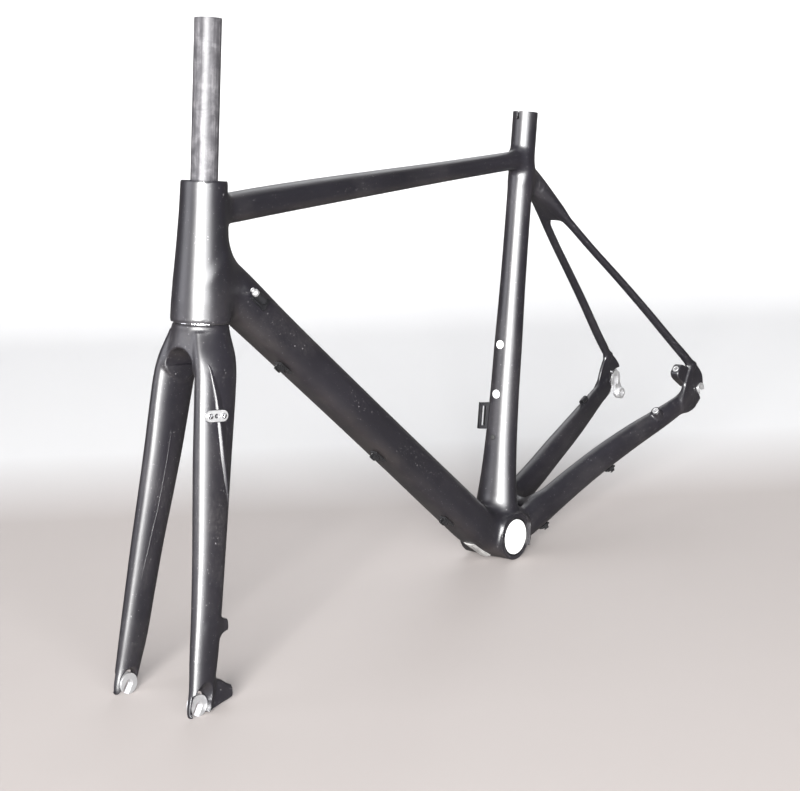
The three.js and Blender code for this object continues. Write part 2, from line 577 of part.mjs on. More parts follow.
// Cable guide plate under the bottom bracket end of the down tube.
const guideStations = toStations([
  [8, 0, -6, 12, 22.4 + 2.6, 4], [40, 0, 19, 12, 23.8 + 2.2, 4],
]);
const guideOutline = [[-5, -29.6], [70, -29.6], [70, 2], [44, 2], [22, -14], [-5, -22]];
addMesh(root, 'cable_guide_plate', tube(guideStations, 24)
  .subtract(downClearance).subtract(bbClearance)
  .intersect(plate(guideOutline, -13, 13)), whitePlastic());

// ---------------------------------------------------------------- headset
// From here on all coordinates are local to the steering group.
const ring = (profile, segments) => turned(profile, CENTRE, UP, segments);

// Bearing race with its ball groove on the outside (inner race) or inside (outer race).
function race({ bore, outer, bottom, top, groove, ballZ, grooveOutside }) {
  const wall = grooveOutside ? outer : bore;
  const grooved = [
    [wall, ballZ - 1.9], [groove, ballZ - 0.9], [groove, ballZ + 0.9], [wall, ballZ + 1.9],
  ];
  return ring(grooveOutside
    ? [[bore, bottom], [outer, bottom], ...grooved, [outer, top], [bore, top]]
    : [[bore, bottom], [outer, bottom], [outer, top], [bore, top], ...grooved.reverse()], 20);
}
function ballCage(pitchR, ballR, ballZ, count) {
  let cage = ring([
    [pitchR - 0.5, ballZ - 0.6], [pitchR + 0.5, ballZ - 0.6],
    [pitchR + 0.5, ballZ + 0.6], [pitchR - 0.5, ballZ + 0.6],
  ], 16);
  for (let k = 0; k < count; k++) {
    const angle = (2 * Math.PI * k) / count;
    const ball = new THREE.SphereGeometry(ballR, 6, 3);
    ball.translate(pitchR * Math.cos(angle), pitchR * Math.sin(angle), ballZ);
    cage = cage.add(toSolid(ball));
  }
  return cage;
}

const lowerBallZ = 6.1;
addMesh(steering, 'lower_outer_race', race({
  bore: 24.2, outer: 25.9, bottom: 2.7, top: 9.6, groove: 24.75, ballZ: lowerBallZ,
}), steel());
addMesh(steering, 'lower_ball_cage', ballCage(22.9, 1.4, lowerBallZ, 10), steel());
// The flat flange shows between the head tube and the fork crown.
addMesh(steering, 'lower_inner_race', ring([
  [20, 0.4], [28.2, 0.4], [28.2, 1.5], [21.6, 1.5], [21.6, 4.2], [21.15, 5.2], [21.15, 7],
  [21.6, 8], [21.6, 9.2], [20, 9.2],
], 28), steel());

const upperBallZ = HEAD_GAP + HEAD_LENGTH - 4.6;
addMesh(steering, 'upper_outer_race', race({
  bore: 19.3, outer: 20.9, bottom: upperBallZ - 3.3, top: upperBallZ + 3.3,
  groove: 19.85, ballZ: upperBallZ,
}), steel());
addMesh(steering, 'upper_ball_cage', ballCage(18.15, 1.3, upperBallZ, 9), steel());
addMesh(steering, 'upper_inner_race', race({
  bore: 15.5, outer: 17.1, bottom: upperBallZ - 3.2, top: upperBallZ + 3,
  groove: 16.6, ballZ: upperBallZ, grooveOutside: true,
}), steel());
addMesh(steering, 'compression_ring', ring([
  [14.6, -2.5], [15.2, -2.5], [15.2, 3.4], [18.4, 3.4], [18.4, 4.2], [14.6, 4.2],
].map(([radius, height]) => [radius, upperBallZ + height]), 20), alloy());

// ---------------------------------------------------------------- steerer and fork crown
addMesh(steering, 'steerer', ring([
  [STEERER_BORE_R, -14], [17, -14], [17, 0.3], [STEERER_BASE_R, 0.3], [STEERER_BASE_R, 9.5],
  [17.4, 30], [STEERER_R, 62], [STEERER_R, STEERER_LENGTH - 0.5],
  [STEERER_R - 0.5, STEERER_LENGTH], [STEERER_BORE_R, STEERER_LENGTH],
], 28), rawCarbon());

const SEAM_Z = -46;                // crown above, legs below
const LEG_AXLE_Y = 57;
// [x, y, z, half width, half depth, squareness]
const legSolid = tube(toStations([
  [4.2, 27.6, -34, 13.2, 28, 2.2], [5.6, 30, -48, 13.4, 27.2, 2.2],
  [9.6, 33.2, -86, 13.4, 25.9, 2.2], [14.6, 36.9, -136.6, 13.7, 24, 2.2],
  [20, 41.7, -188, 13.2, 22, 2.2], [25.6, 46.6, -239, 12.4, 20.1, 2.2],
  [30.8, 50.6, -290, 11.4, 18.8, 2.2], [36.4, 54, -341, 10.2, 17.6, 2.2],
  [41, 56.4, -374, 8.8, 15.6, 2.2], [FORK_RAKE, LEG_AXLE_Y, -391, 7.8, 14.2, 2.2],
  [FORK_RAKE + 0.6, LEG_AXLE_Y, -401.5, 7, 9.5, 2.2],
], DOWN), 18);
const crownTop = tube(toStations([
  [0, 0, 0, 28.6, 28.6, 2], [0, 0, -1.5, 29.6, 29.6, 2], [0.2, 0, -9, 31.4, 29.8, 2],
  [1, 0, -18, 34.4, 29.8, 2.1], [2.4, 0, -28, 38, 29.2, 2.3], [4, 0, -38, 41, 28.4, 2.6],
  [5.2, 0, SEAM_Z, 42.9, 27.4, 3],
], DOWN), 28);
const aboveSeam = box([400, 400, 600], vec(0, 0, SEAM_Z + 300));
const belowSeam = box([400, 400, 600], vec(0, 0, SEAM_Z - GAP - 300));
// Arched opening over the wheel, right through from back to front.
const crownTunnel = rodAlong(19.2, vec(0, 0, -44.5), FORWARD, -60, 80, 22)
  .add(box([140, 38.4, 30], vec(10, 0, -59.5)));
addMesh(steering, 'fork_crown', crownTop
  .add(legSolid.intersect(aboveSeam))
  .add(mirrorY(legSolid).intersect(aboveSeam))
  .intersect(aboveSeam)
  .subtract(crownTunnel)
  .subtract(rodAlong(17.3, CENTRE, UP, -14.4, 5, 24))
  .subtract(rodAlong(8, CENTRE, UP, -40, 0, 12)), carbon());

// ---------------------------------------------------------------- fork legs
const axleX = FORK_RAKE;
const axleZ = -FORK_DROP;
const frontAxle = [axleX, axleZ];
const [slotX, slotZ] = steerDirection(Math.sin(rad(36)), -Math.cos(rad(36)));
const frontSlotAngle = Math.atan2(slotZ, slotX);
const frontSlot = (width) => axleSlot(frontAxle, width, frontSlotAngle, 30, 80);
const wideSlot = frontSlot(FRONT_SLOT_WIDTH + 3);

// Level cut, 1.6 above the floor.
const [floorCutX, floorCutZ] = steerPoint([590, FLOOR_Z + 1.6 - 30]);
const floorCut = box([200, 300, 60], vec(floorCutX, 0, floorCutZ), turnY(steerTilt));
// Pocket in the outer face round the axle, with a slanted run-out above it.
const tipPocket = rodAcross(12.6, frontAxle, 57.2, 75, 22)
  .add(rod(11.6, vec(axleX, 57, axleZ + 3), vec(axleX - 3, 76, axleZ + 20), 18));
const legBase = legSolid.intersect(belowSeam).subtract(floorCut)
  .subtract(box([80, 20, 70], vec(axleX, 40.2, axleZ - 8)))
  .subtract(rodAcross(12, frontAxle, 30, 58, 26)).subtract(tipPocket)
  .subtract(wideSlot);

// Brake posts behind the left leg. Outlines are frame [x, z] points.
const POST_FACE_X = 546.9;
const lowerArmOutline = [
  [592, 2], [572, 12], [562, 5], [555, -3.5], [POST_FACE_X, -9.8], [POST_FACE_X, -25],
  [553, -26.4], [578, -28.4], [592, -28.4],
];
const upperTabOutline = [
  [578, 74], [560, 70], [551, 65.5], [POST_FACE_X, 64.2], [POST_FACE_X, 49.8], [552, 48.5],
  [564, 42], [582, 36],
];
const postPlate = (outline) => plate(outline.map(steerPoint), 47.8, 60.2);
const lowerArm = postPlate(lowerArmOutline)
  .subtract(rodAcross(12.3, frontAxle, 30, 80, 26)).subtract(wideSlot);
let leftLeg = legBase.add(lowerArm).add(postPlate(upperTabOutline));

const [rearwardX, rearwardZ] = steerDirection(-1, 0);
const frontPostOut = vec(rearwardX, 0, rearwardZ);
for (const [name, height] of [['upper', 57], ['lower', -17.2]]) {
  const [x, z] = steerPoint([546.5, height]);
  const post = vec(x, 54, z);
  leftLeg = leftLeg.subtract(rodAlong(5, post, frontPostOut, -11, 6, 18));
  addMesh(steering, `front_post_insert_${name}`, postInsert(post, frontPostOut), alloy());
}

// Hose plate on the outside of the left leg with its two screws.
const plateTurn = rad(14);
const plateOut = vec(Math.sin(plateTurn), Math.cos(plateTurn), 0);
const plateRun = vec(Math.cos(plateTurn), -Math.sin(plateTurn), 0);
const plateRotation = basis(plateRun, plateOut, UP);
const plateCentre = vec(19.5, 46.6, -91);
const onPlate = (shift) => along(plateCentre, plateRun, shift);
const plateRod = (radius, shift, start, end, segments) => rodAlong(
  radius, onPlate(shift), plateOut, start, end, segments);
const plateScrewProfile = [
  [0, -7.6], [1.55, -7.6], [1.55, 1.1], [3, 1.1], [2.7, 2.2], [0, 2.6],
];
leftLeg = leftLeg.subtract(box([30, 8, 14.4], along(plateCentre, plateOut, 2.7), plateRotation));
let hosePlate = box([15, 2, 12], along(plateCentre, plateOut, -0.2), plateRotation)
  .add(plateRod(6, -7.5, -1.2, 0.8, 18))
  .add(plateRod(6, 7.5, -1.2, 0.8, 18))
  .subtract(plateRod(2.6, 0, -3, 3, 14));
[-8, 8].forEach((shift, i) => {
  hosePlate = hosePlate.subtract(plateRod(1.9, shift, -3, 3, 12));
  leftLeg = leftLeg.subtract(plateRod(1.9, shift, -9, 3, 10));
  addMesh(steering, `hose_plate_screw_${i + 1}`,
    turned(plateScrewProfile, onPlate(shift), plateOut, 14), steel());
});
addMesh(steering, 'hose_plate', hosePlate, alloy());
addMesh(steering, 'fork_leg_left', leftLeg, carbon());
addMesh(steering, 'fork_leg_right', mirrorY(legBase), carbon());

// ---------------------------------------------------------------- fork tips
const tipInnerY = FRONT_HUB_WIDTH / 2;
const forkTip = discPlate(frontAxle, 11.7, tipInnerY, tipInnerY + 7)
  .subtract(frontSlot(FRONT_SLOT_WIDTH));
addMesh(steering, 'fork_tip_left', forkTip, alloy());
addMesh(steering, 'fork_tip_right', mirrorY(forkTip), alloy());

export default root;
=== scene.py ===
# Looks of the carbon disc-brake bicycle frameset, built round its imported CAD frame.
import json
import math
import bpy
import bmesh
import numpy as np
import openvdb
from mathutils import Matrix, Vector


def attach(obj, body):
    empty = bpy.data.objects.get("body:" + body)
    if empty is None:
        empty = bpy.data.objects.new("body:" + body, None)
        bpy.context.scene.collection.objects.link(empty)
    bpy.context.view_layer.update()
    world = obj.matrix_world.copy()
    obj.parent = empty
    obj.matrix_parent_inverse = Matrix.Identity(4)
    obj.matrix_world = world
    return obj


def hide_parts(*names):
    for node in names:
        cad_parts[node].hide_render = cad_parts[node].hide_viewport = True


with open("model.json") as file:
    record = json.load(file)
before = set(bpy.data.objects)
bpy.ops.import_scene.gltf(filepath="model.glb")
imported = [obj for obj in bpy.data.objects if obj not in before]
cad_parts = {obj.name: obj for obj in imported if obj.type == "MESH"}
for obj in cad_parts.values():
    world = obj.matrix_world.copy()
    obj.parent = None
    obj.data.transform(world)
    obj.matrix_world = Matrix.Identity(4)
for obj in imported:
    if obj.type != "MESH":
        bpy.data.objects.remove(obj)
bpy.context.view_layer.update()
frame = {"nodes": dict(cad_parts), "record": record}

# ---------------------------------------------------------------- frame of reference
# Lengths below are millimetres from the centre of the bottom bracket, +X forward, +Y rider's left, +Z up.
# PLACE turns them into the row's frame: metres, origin on the floor under the middle of the frameset.
PLACE = np.array([-89.289, 0.0, 30.032])


def metres(p):
    return (np.asarray(p, float) + PLACE) / 1000.0


TILT = math.radians(90 - 82.84)
S = np.array([-math.sin(TILT), 0, math.cos(TILT)])   # up the steering axis
SX = np.array([math.cos(TILT), 0, math.sin(TILT)])   # forward, square to it
CROWN = np.array([501.8, 0, 363.8])
SEAT = math.radians(80.2)
T = np.array([-math.cos(SEAT), 0, math.sin(SEAT)])   # up the seat tube
TF = np.array([math.sin(SEAT), 0, math.cos(SEAT)])   # forward, square to it
DT = np.array([0.7466, 0, 0.6653])                   # up the down tube
DT /= np.linalg.norm(DT)
DN = np.array([-DT[2], 0, DT[0]])                    # square to it, up
SIDE = np.array([0.0, 1.0, 0.0])
DOWN_LOCAL = np.array([0.0, 0.0, -1.0])


def on_steer(h):
    return CROWN + S * h


def on_seat(t, f=0.0, y=0.0):
    return T * t + TF * f + SIDE * y


def on_down(s, h=0.0, y=0.0):
    return np.array([99.2, y, 71.3]) + DT * (s - 121.5) + DN * h


def fork_world(p):
    """Fork-local points (x forward, y left, z up the steering axis from the crown) to the common frame."""
    p = np.atleast_2d(np.asarray(p, float))
    return CROWN + p[:, :1] * SX + p[:, 1:2] * SIDE + p[:, 2:3] * S


def fork_local(p):
    q = np.atleast_2d(np.asarray(p, float)) - CROWN
    return np.stack([q @ SX, q @ SIDE, q @ S], 1)


# ---------------------------------------------------------------- distance fields
def spline(rows, per=10):
    """Catmull-Rom samples through station rows, clamped so that widths never overshoot much."""
    rows = np.asarray(rows, float)
    ext = np.vstack([2 * rows[0] - rows[1], rows, 2 * rows[-1] - rows[-2]])
    gap = np.linalg.norm(np.diff(ext[:, :3], axis=0), axis=1) ** 0.5
    gap = np.maximum(gap, 1e-6)
    knots = np.concatenate([[0], np.cumsum(gap)])
    out = []
    for i in range(1, len(ext) - 2):
        t0, t1, t2, t3 = knots[i - 1:i + 3]
        p0, p1, p2, p3 = ext[i - 1:i + 3]
        for k in range(per):
            t = t1 + (t2 - t1) * k / per
            a1 = (t1 - t) / (t1 - t0) * p0 + (t - t0) / (t1 - t0) * p1
            a2 = (t2 - t) / (t2 - t1) * p1 + (t - t1) / (t2 - t1) * p2
            a3 = (t3 - t) / (t3 - t2) * p2 + (t - t2) / (t3 - t2) * p3
            b1 = (t2 - t) / (t2 - t0) * a1 + (t - t0) / (t2 - t0) * a2
            b2 = (t3 - t) / (t3 - t1) * a2 + (t - t1) / (t3 - t1) * a3
            out.append((t2 - t) / (t2 - t1) * b1 + (t - t1) / (t2 - t1) * b2)
    out.append(ext[-2])
    return np.array(out)


class Tube:
    """A tube of superellipse section: rows of x, y, z, half width (sideways), half height, squareness."""

    def __init__(self, rows, tangent=None, cap=True):
        r = spline(rows)
        self.c, self.a, self.b, self.n = r[:, :3], r[:, 3], r[:, 4], r[:, 5]
        chord = self.c[-1] - self.c[0]
        self.chord = chord / np.linalg.norm(chord)
        self.s = (self.c - self.c[0]) @ self.chord
        t = np.gradient(self.c, axis=0)
        t /= np.linalg.norm(t, axis=1)[:, None]
        if tangent is not None:
            t[:] = tangent
        self.t = t
        v = np.cross(t, SIDE)
        v /= np.linalg.norm(v, axis=1)[:, None]
        self.v = v
        self.u = np.cross(v, t)
        self.cap = cap
        big = max(self.a.max(), self.b.max()) + 1
        self.lo, self.hi = self.c.min(0) - big, self.c.max(0) + big

    def __call__(self, p):
        rel = p - self.c[0]
        s = np.clip(rel @ self.chord, self.s[0], self.s[-1])
        for _ in range(2):
            c = np.stack([np.interp(s, self.s, self.c[:, k]) for k in range(3)], 1)
            t = np.stack([np.interp(s, self.s, self.t[:, k]) for k in range(3)], 1)
            s = np.clip(s + ((p - c) * t).sum(1) / np.maximum(t @ self.chord, 0.3), self.s[0], self.s[-1])
        c = np.stack([np.interp(s, self.s, self.c[:, k]) for k in range(3)], 1)
        u = np.stack([np.interp(s, self.s, self.u[:, k]) for k in range(3)], 1)
        v = np.stack([np.interp(s, self.s, self.v[:, k]) for k in range(3)], 1)
        t = np.stack([np.interp(s, self.s, self.t[:, k]) for k in range(3)], 1)
        a, b, n = np.interp(s, self.s, self.a), np.interp(s, self.s, self.b), np.interp(s, self.s, self.n)
        q = p - c
        x, y, along = np.abs((q * u).sum(1)), np.abs((q * v).sum(1)), np.abs((q * t).sum(1))
        x, y = np.maximum(x, 1e-3), np.maximum(y, 1e-3)
        px, py = (x / a) ** n, (y / b) ** n
        f = (px + py) ** (1 / n)
        g = np.hypot(px / x, py / y) * f ** (1 - n)
        d = (f - 1) / np.maximum(g, 1e-6)
        over = np.where((s <= self.s[0] + 1e-6) | (s >= self.s[-1] - 1e-6), along, 0.0)
        if self.cap:
            d = np.where(over > 0, np.where(d > 0, np.hypot(d, over), np.maximum(d, over)), d)
        return d


def revolve(p, origin, axis, rows):
    """Distance to a turned shape: rows of height along the axis, radius."""
    rows = np.asarray(rows, float)
    q = p - origin
    h = q @ axis
    r = np.linalg.norm(q - h[:, None] * axis, axis=1)
    big = np.interp(h, rows[:, 0], rows[:, 1])
    slope = np.gradient(rows[:, 1], rows[:, 0])
    k = np.interp(h, rows[:, 0], slope)
    d = (r - big) / np.sqrt(1 + k * k)
    end = np.maximum(rows[0, 0] - h, h - rows[-1, 0])
    return np.where(end > 0, np.where(d > 0, np.hypot(d, end), end), np.maximum(d, end))


def capsule_cyl(p, a, b, r, rnd=0.0):
    """Distance to a cylinder between two points with rounded rims."""
    a, b = np.asarray(a, float), np.asarray(b, float)
    ax = b - a
    length = np.linalg.norm(ax)
    ax = ax / length
    q = p - a
    h = q @ ax
    rr = np.linalg.norm(q - h[:, None] * ax, axis=1)
    dx = rr - (r - rnd)
    dy = np.abs(h - length / 2) - (length / 2 - rnd)
    return np.hypot(np.maximum(dx, 0), np.maximum(dy, 0)) + np.minimum(np.maximum(dx, dy), 0) - rnd


def polygon2(x, z, pts):
    """Signed distance to a closed polygon in the x, z plane."""
    pts = np.asarray(pts, float)
    best = np.full(len(x), 1e9)
    inside = np.zeros(len(x), bool)
    for i in range(len(pts)):
        ax, az = pts[i]
        bx, bz = pts[(i + 1) % len(pts)]
        ex, ez = bx - ax, bz - az
        wx, wz = x - ax, z - az
        t = np.clip((wx * ex + wz * ez) / (ex * ex + ez * ez), 0, 1)
        best = np.minimum(best, (wx - ex * t) ** 2 + (wz - ez * t) ** 2)
        cross = ((az > z) != (bz > z)) & (x < ex * (z - az) / (ez if abs(ez) > 1e-9 else 1e-9) + ax)
        inside ^= cross
    d = np.sqrt(best)
    return np.where(inside, -d, d)


def round_poly(pts, turns=2):
    """Chaikin corner cutting, so an outline of straight runs becomes a smooth one."""
    pts = np.asarray(pts, float)
    for _ in range(turns):
        nxt = np.roll(pts, -1, axis=0)
        pts = np.stack([pts * 0.8 + nxt * 0.2, pts * 0.2 + nxt * 0.8], 1).reshape(-1, 2)
    return pts


def slab(p, pts, y0, y1, rnd):
    """A plate with rounded edges: outline in x, z, between two y values."""
    d2 = polygon2(p[:, 0], p[:, 2], pts) + rnd
    dy = np.abs(p[:, 1] - (y0 + y1) / 2) - (abs(y1 - y0) / 2 - rnd)
    return np.hypot(np.maximum(d2, 0), np.maximum(dy, 0)) + np.minimum(np.maximum(d2, dy), 0) - rnd


def smin(a, b, k):
    h = np.maximum(k - np.abs(a - b), 0) / k
    return np.minimum(a, b) - h * h * k * 0.25


def smax(a, b, k):
    return -smin(-a, -b, k)


def flip(p):
    return p * np.array([1.0, -1.0, 1.0])


# ---------------------------------------------------------------- stations of the tubes
def seat_rows():
    rows = [(0, 24, 31), (16, 24, 31), (48, 21.5, 27.5), (82, 19.8, 24), (122, 18.8, 21.4), (180, 17.9, 19.2), (246, 17.3, 18.2),
            (318, 16.3, 16.6), (400, 15.9, 15.9), (470, 15.9, 15.9), (560, 15.9, 15.9)]
    return [(*on_seat(t), a, b, 2.0) for t, b, a in rows]


DOWN_ROWS = [(-2, 0, -10.5, 30, 18.5, 2.4), (14, 0, -1, 29.5, 22.4, 2.6), (38, 0, 17.2, 28, 23.8, 2.8), (95, 0, 67.6, 25.5, 24.2, 3), (180, 0, 143.4, 24.4, 23.6, 3),
             (300, 0, 250.4, 24, 23.2, 3), (400, 0, 339.6, 24.2, 23.6, 3), (452, 0, 387, 24.8, 25, 2.8), (492, 0, 424, 24, 25, 2.4)]
TOP_ROWS = [(486, 0, 479, 17, 15.8, 2.4), (452, 0, 478.4, 17.5, 15.8, 2.5), (400, 0, 479.2, 17.8, 15.6, 2.6), (320, 0, 479.6, 17.4, 15.0, 2.6),
            (200, 0, 479.3, 16, 13.5, 2.6), (80, 0, 478.8, 14.3, 12, 2.5), (-30, 0, 478.4, 13.6, 11.5, 2.4), (-74, 0, 478.2, 13.6, 11.5, 2.2)]
CHAIN_ROWS = [(-14, 23.5, 2, 10.5, 20.5, 2.2), (-60, 25.6, 16, 11.3, 21.5, 2.4), (-100, 28.6, 29, 11.3, 20.6, 2.5), (-140, 32.2, 42, 11, 19.8, 2.5),
              (-194, 39.2, 59.5, 10.8, 18.8, 2.5), (-266, 50.4, 80, 10.2, 17.2, 2.4), (-320, 60.8, 94.5, 8.8, 15.4, 2.3), (-356, 67, 105, 7, 14.2, 2.3), (-386, 70.3, 113, 4, 13, 2.3)]
STAY_ROWS = [(-112, 9, 436, 3.5, 3.5, 2.2), (-133, 12.6, 415, 5.0, 4.6, 2.3), (-147, 16.4, 400.5, 5.4, 4.6, 2.3), (-162, 20.4, 384.5, 5.6, 4.6, 2.3), (-194.4, 28, 351.3, 5.8, 4.2, 2.3), (-246.6, 39.8, 300.6, 6.1, 4.3, 2.3),
             (-297.2, 51, 250, 6.4, 4.5, 2.3), (-345.2, 61.8, 200, 6.5, 4.9, 2.3), (-372.2, 67.4, 173, 5.6, 6, 2.3), (-388.6, 70.4, 156, 3.6, 7, 2.3)]
NECK_ROWS = [(-80, 0, 462, 9.5, 17, 2.3), (-103, 0, 446.5, 11, 15.6, 2.3), (-127, 0, 425, 16, 11.8, 2.4), (-147, 0, 404, 20.0, 7.2, 2.7), (-158, 0, 392.2, 17.5, 4.8, 3), (-167, 0, 383.2, 13.0, 2.8, 3)]
HEAD_ROWS = [(-8, 31.0), (0, 31.2), (3, 31.9), (20, 31.5), (44, 30), (80, 27.4), (116, 25.3), (144.4, 24.5), (146.2, 23.7), (156, 23.7)]
REAR_LEFT = [(-379, 157.5), (-392, 161.5), (-403.5, 151), (-412, 141), (-414, 129), (-413.6, 116.5), (-408.6, 106.5), (-399, 99.8), (-388, 93.6), (-372, 91.5),
             (-356, 96), (-352, 112), (-361, 128), (-369.5, 142)]
REAR_RIGHT = [(-378, 157.5), (-391.5, 162), (-404, 151.8), (-413.6, 141.2), (-416, 135.2), (-404.5, 134.8), (-393.4, 129.5), (-389.2, 116.5), (-383.3, 105.8), (-370, 97.6),
              (-356, 96), (-352, 112), (-360, 128), (-367.5, 144)]
REAR_ARM = [(-384, 150), (-366, 162), (-357.8, 163.5), (-346.6, 153.6), (-350.2, 144.6), (-365, 134.2), (-377, 126)]
AXLE = np.array([-404.3, 0, 120.8])
POST_N = np.array([0.656, 0, 0.755])
POST_N /= np.linalg.norm(POST_N)
POST_UP = np.array([-352.1, 65, 158.5])
POST_LOW = np.array([-296.5, 65, 109.4])
LEG_ROWS = [(2.4, 19, -8, 7, 22, 2.2), (3.2, 23, -22, 9.8, 25.2, 2.2), (4.0, 26.6, -34, 12, 26.6, 2.2), (5.6, 29.6, -48, 13.1, 26.8, 2.2), (7.6, 31.6, -66, 13.4, 26.5, 2.2),
            (9.6, 33.2, -86, 13.4, 25.9, 2.2), (14.6, 36.9, -136.6, 13.7, 24, 2.2), (20, 41.7, -188, 13.2, 22, 2.2),
            (25.6, 46.6, -239, 12.4, 20.1, 2.2), (30.8, 50.6, -290, 11.4, 18.8, 2.2), (36.4, 54, -341, 10.2, 17.6, 2.2), (41, 56.4, -374, 8.8, 15.6, 2.2), (44.3, 57, -391, 7.8, 14.8, 2.3), (44.7, 57, -398, 7.4, 14.4, 2.3), (45, 57, -404, 6.4, 12.4, 2.3)]
CROWN_ROWS = [(0, 0, 6, 28.6, 28.6, 2), (0, 0, 0, 28.6, 28.6, 2), (0, 0, -1.5, 29.6, 29.6, 2), (0.2, 0, -9, 31.4, 29.8, 2), (1, 0, -18, 34.6, 29.8, 2.1), (2.4, 0, -28, 38.2, 29.2, 2.35),
              (4, 0, -38, 41, 28.2, 2.5), (5, 0, -45, 42.2, 26.6, 2.5), (5.8, 0, -51, 40, 22.5, 2.4), (6.4, 0, -57, 35, 14, 2.2), (6.8, 0, -61, 30, 6, 2.2)]
FORK_AXLE = np.array([44.3, 0, -390.7])

_tubes = {}


def tube_of(name):
    if not _tubes:
        _tubes.update(
            seat=Tube(seat_rows(), tangent=T), down=Tube(DOWN_ROWS), top=Tube(TOP_ROWS), chain=Tube(CHAIN_ROWS), stay=Tube(STAY_ROWS),
            neck=Tube(NECK_ROWS), leg=Tube(LEG_ROWS, tangent=DOWN_LOCAL), crown=Tube(CROWN_ROWS, tangent=DOWN_LOCAL))
    return _tubes[name]


def frame_field(p):
    """Signed distance, roughly, to the outside of the one-piece carbon frame."""
    far = 60.0
    out = np.full(len(p), far)

    def near(lo, hi, pad=26.0):
        lo, hi = np.minimum(lo, hi), np.maximum(lo, hi)
        return np.nonzero(np.all((p > lo - pad) & (p < hi + pad), axis=1))[0]

    def add(ids, d, k):
        if len(ids):
            out[ids] = smin(out[ids], d, k)

    def tube(name, k, mirrored=False, wide=None):
        t = tube_of(name)
        lo, hi = t.lo.copy(), t.hi.copy()
        if mirrored:
            lo[1], hi[1] = -t.hi[1], -t.lo[1]
        ids = near(lo, hi)
        q = flip(p[ids]) if mirrored else p[ids]
        if wide is not None:
            up = np.clip((p[ids][:, 2] - 4.0) / 34.0, 0, 1)
            k = k + (wide - k) * up * up * (3 - 2 * up)
        add(ids, t(q), k)

    # seat tube, bottom bracket shell, down tube
    tube("seat", 1e-3)
    ids = near((-31, -38, -31), (31, 38, 31))
    add(ids, capsule_cyl(p[ids], (0, -38, 0), (0, 38, 0), 30.0, 0.5), 5.0)
    tube("down", 6.0, wide=24.0)
    ids = near(CROWN - 36, on_steer(160) + 36)
    add(ids, revolve(p[ids], on_steer(1.9), S, HEAD_ROWS), 15.0)
    tube("top", 10.0)
    # stays
    ids = near((-175, -30, 375), (-60, 30, 485))
    q = p[ids]
    d = tube_of("neck")(q)
    neck = np.full(len(p), far)
    neck[ids] = d
    stay = tube_of("stay")
    for m in (False, True):
        lo, hi = stay.lo.copy(), stay.hi.copy()
        if m:
            lo[1], hi[1] = -stay.hi[1], -stay.lo[1]
        i2 = near(lo, hi)
        neck[i2] = smin(neck[i2], stay(flip(p[i2]) if m else p[i2]), 6.0)
    sel = neck < far
    ahead = (p[sel] - np.array([-166.3, 0, 382.7])) @ np.array([-0.69, 0, -0.724])
    side = np.abs(p[sel][:, 1])
    arch = 13.8 - np.where(ahead > 0, side, (np.abs(ahead) ** 2.6 + side ** 2.6) ** (1 / 2.6))
    out[sel] = smin(out[sel], smax(neck[sel], arch, 3.0), 12.0)
    ids = near((-80, -24, 0), (-44, 24, 34))
    add(ids, capsule_cyl(p[ids], (-62, -22, 17), (-62, 22, 17), 15.0, 0.5), 9.0)
    tube("chain", 5.0, wide=20.0)
    tube("chain", 5.0, True, wide=20.0)
    # rear ends
    ids = near((-416, 56, 88), (-340, 80, 168), 14)
    if len(ids):
        q = p[ids]
        d = slab(q, round_poly(REAR_LEFT), 67.5, 74.5, 2.6)
        d = smin(d, slab(q, round_poly(REAR_ARM), 58.4, 71.6, 2.2), 5.0)
        add(ids, d, 7.0)
    ids = near((-312, 56, 92), (-284, 74, 118), 14)
    if len(ids):
        add(ids, capsule_cyl(p[ids], POST_LOW - POST_N * 14, POST_LOW - POST_N * 0.3, 6.6, 0.6), 4.0)
    ids = near((-418, -80, 88), (-340, -60, 168), 14)
    if len(ids):
        add(ids, slab(p[ids], round_poly(REAR_RIGHT), -72.0, -67.5, 1.9), 7.0)
    return out


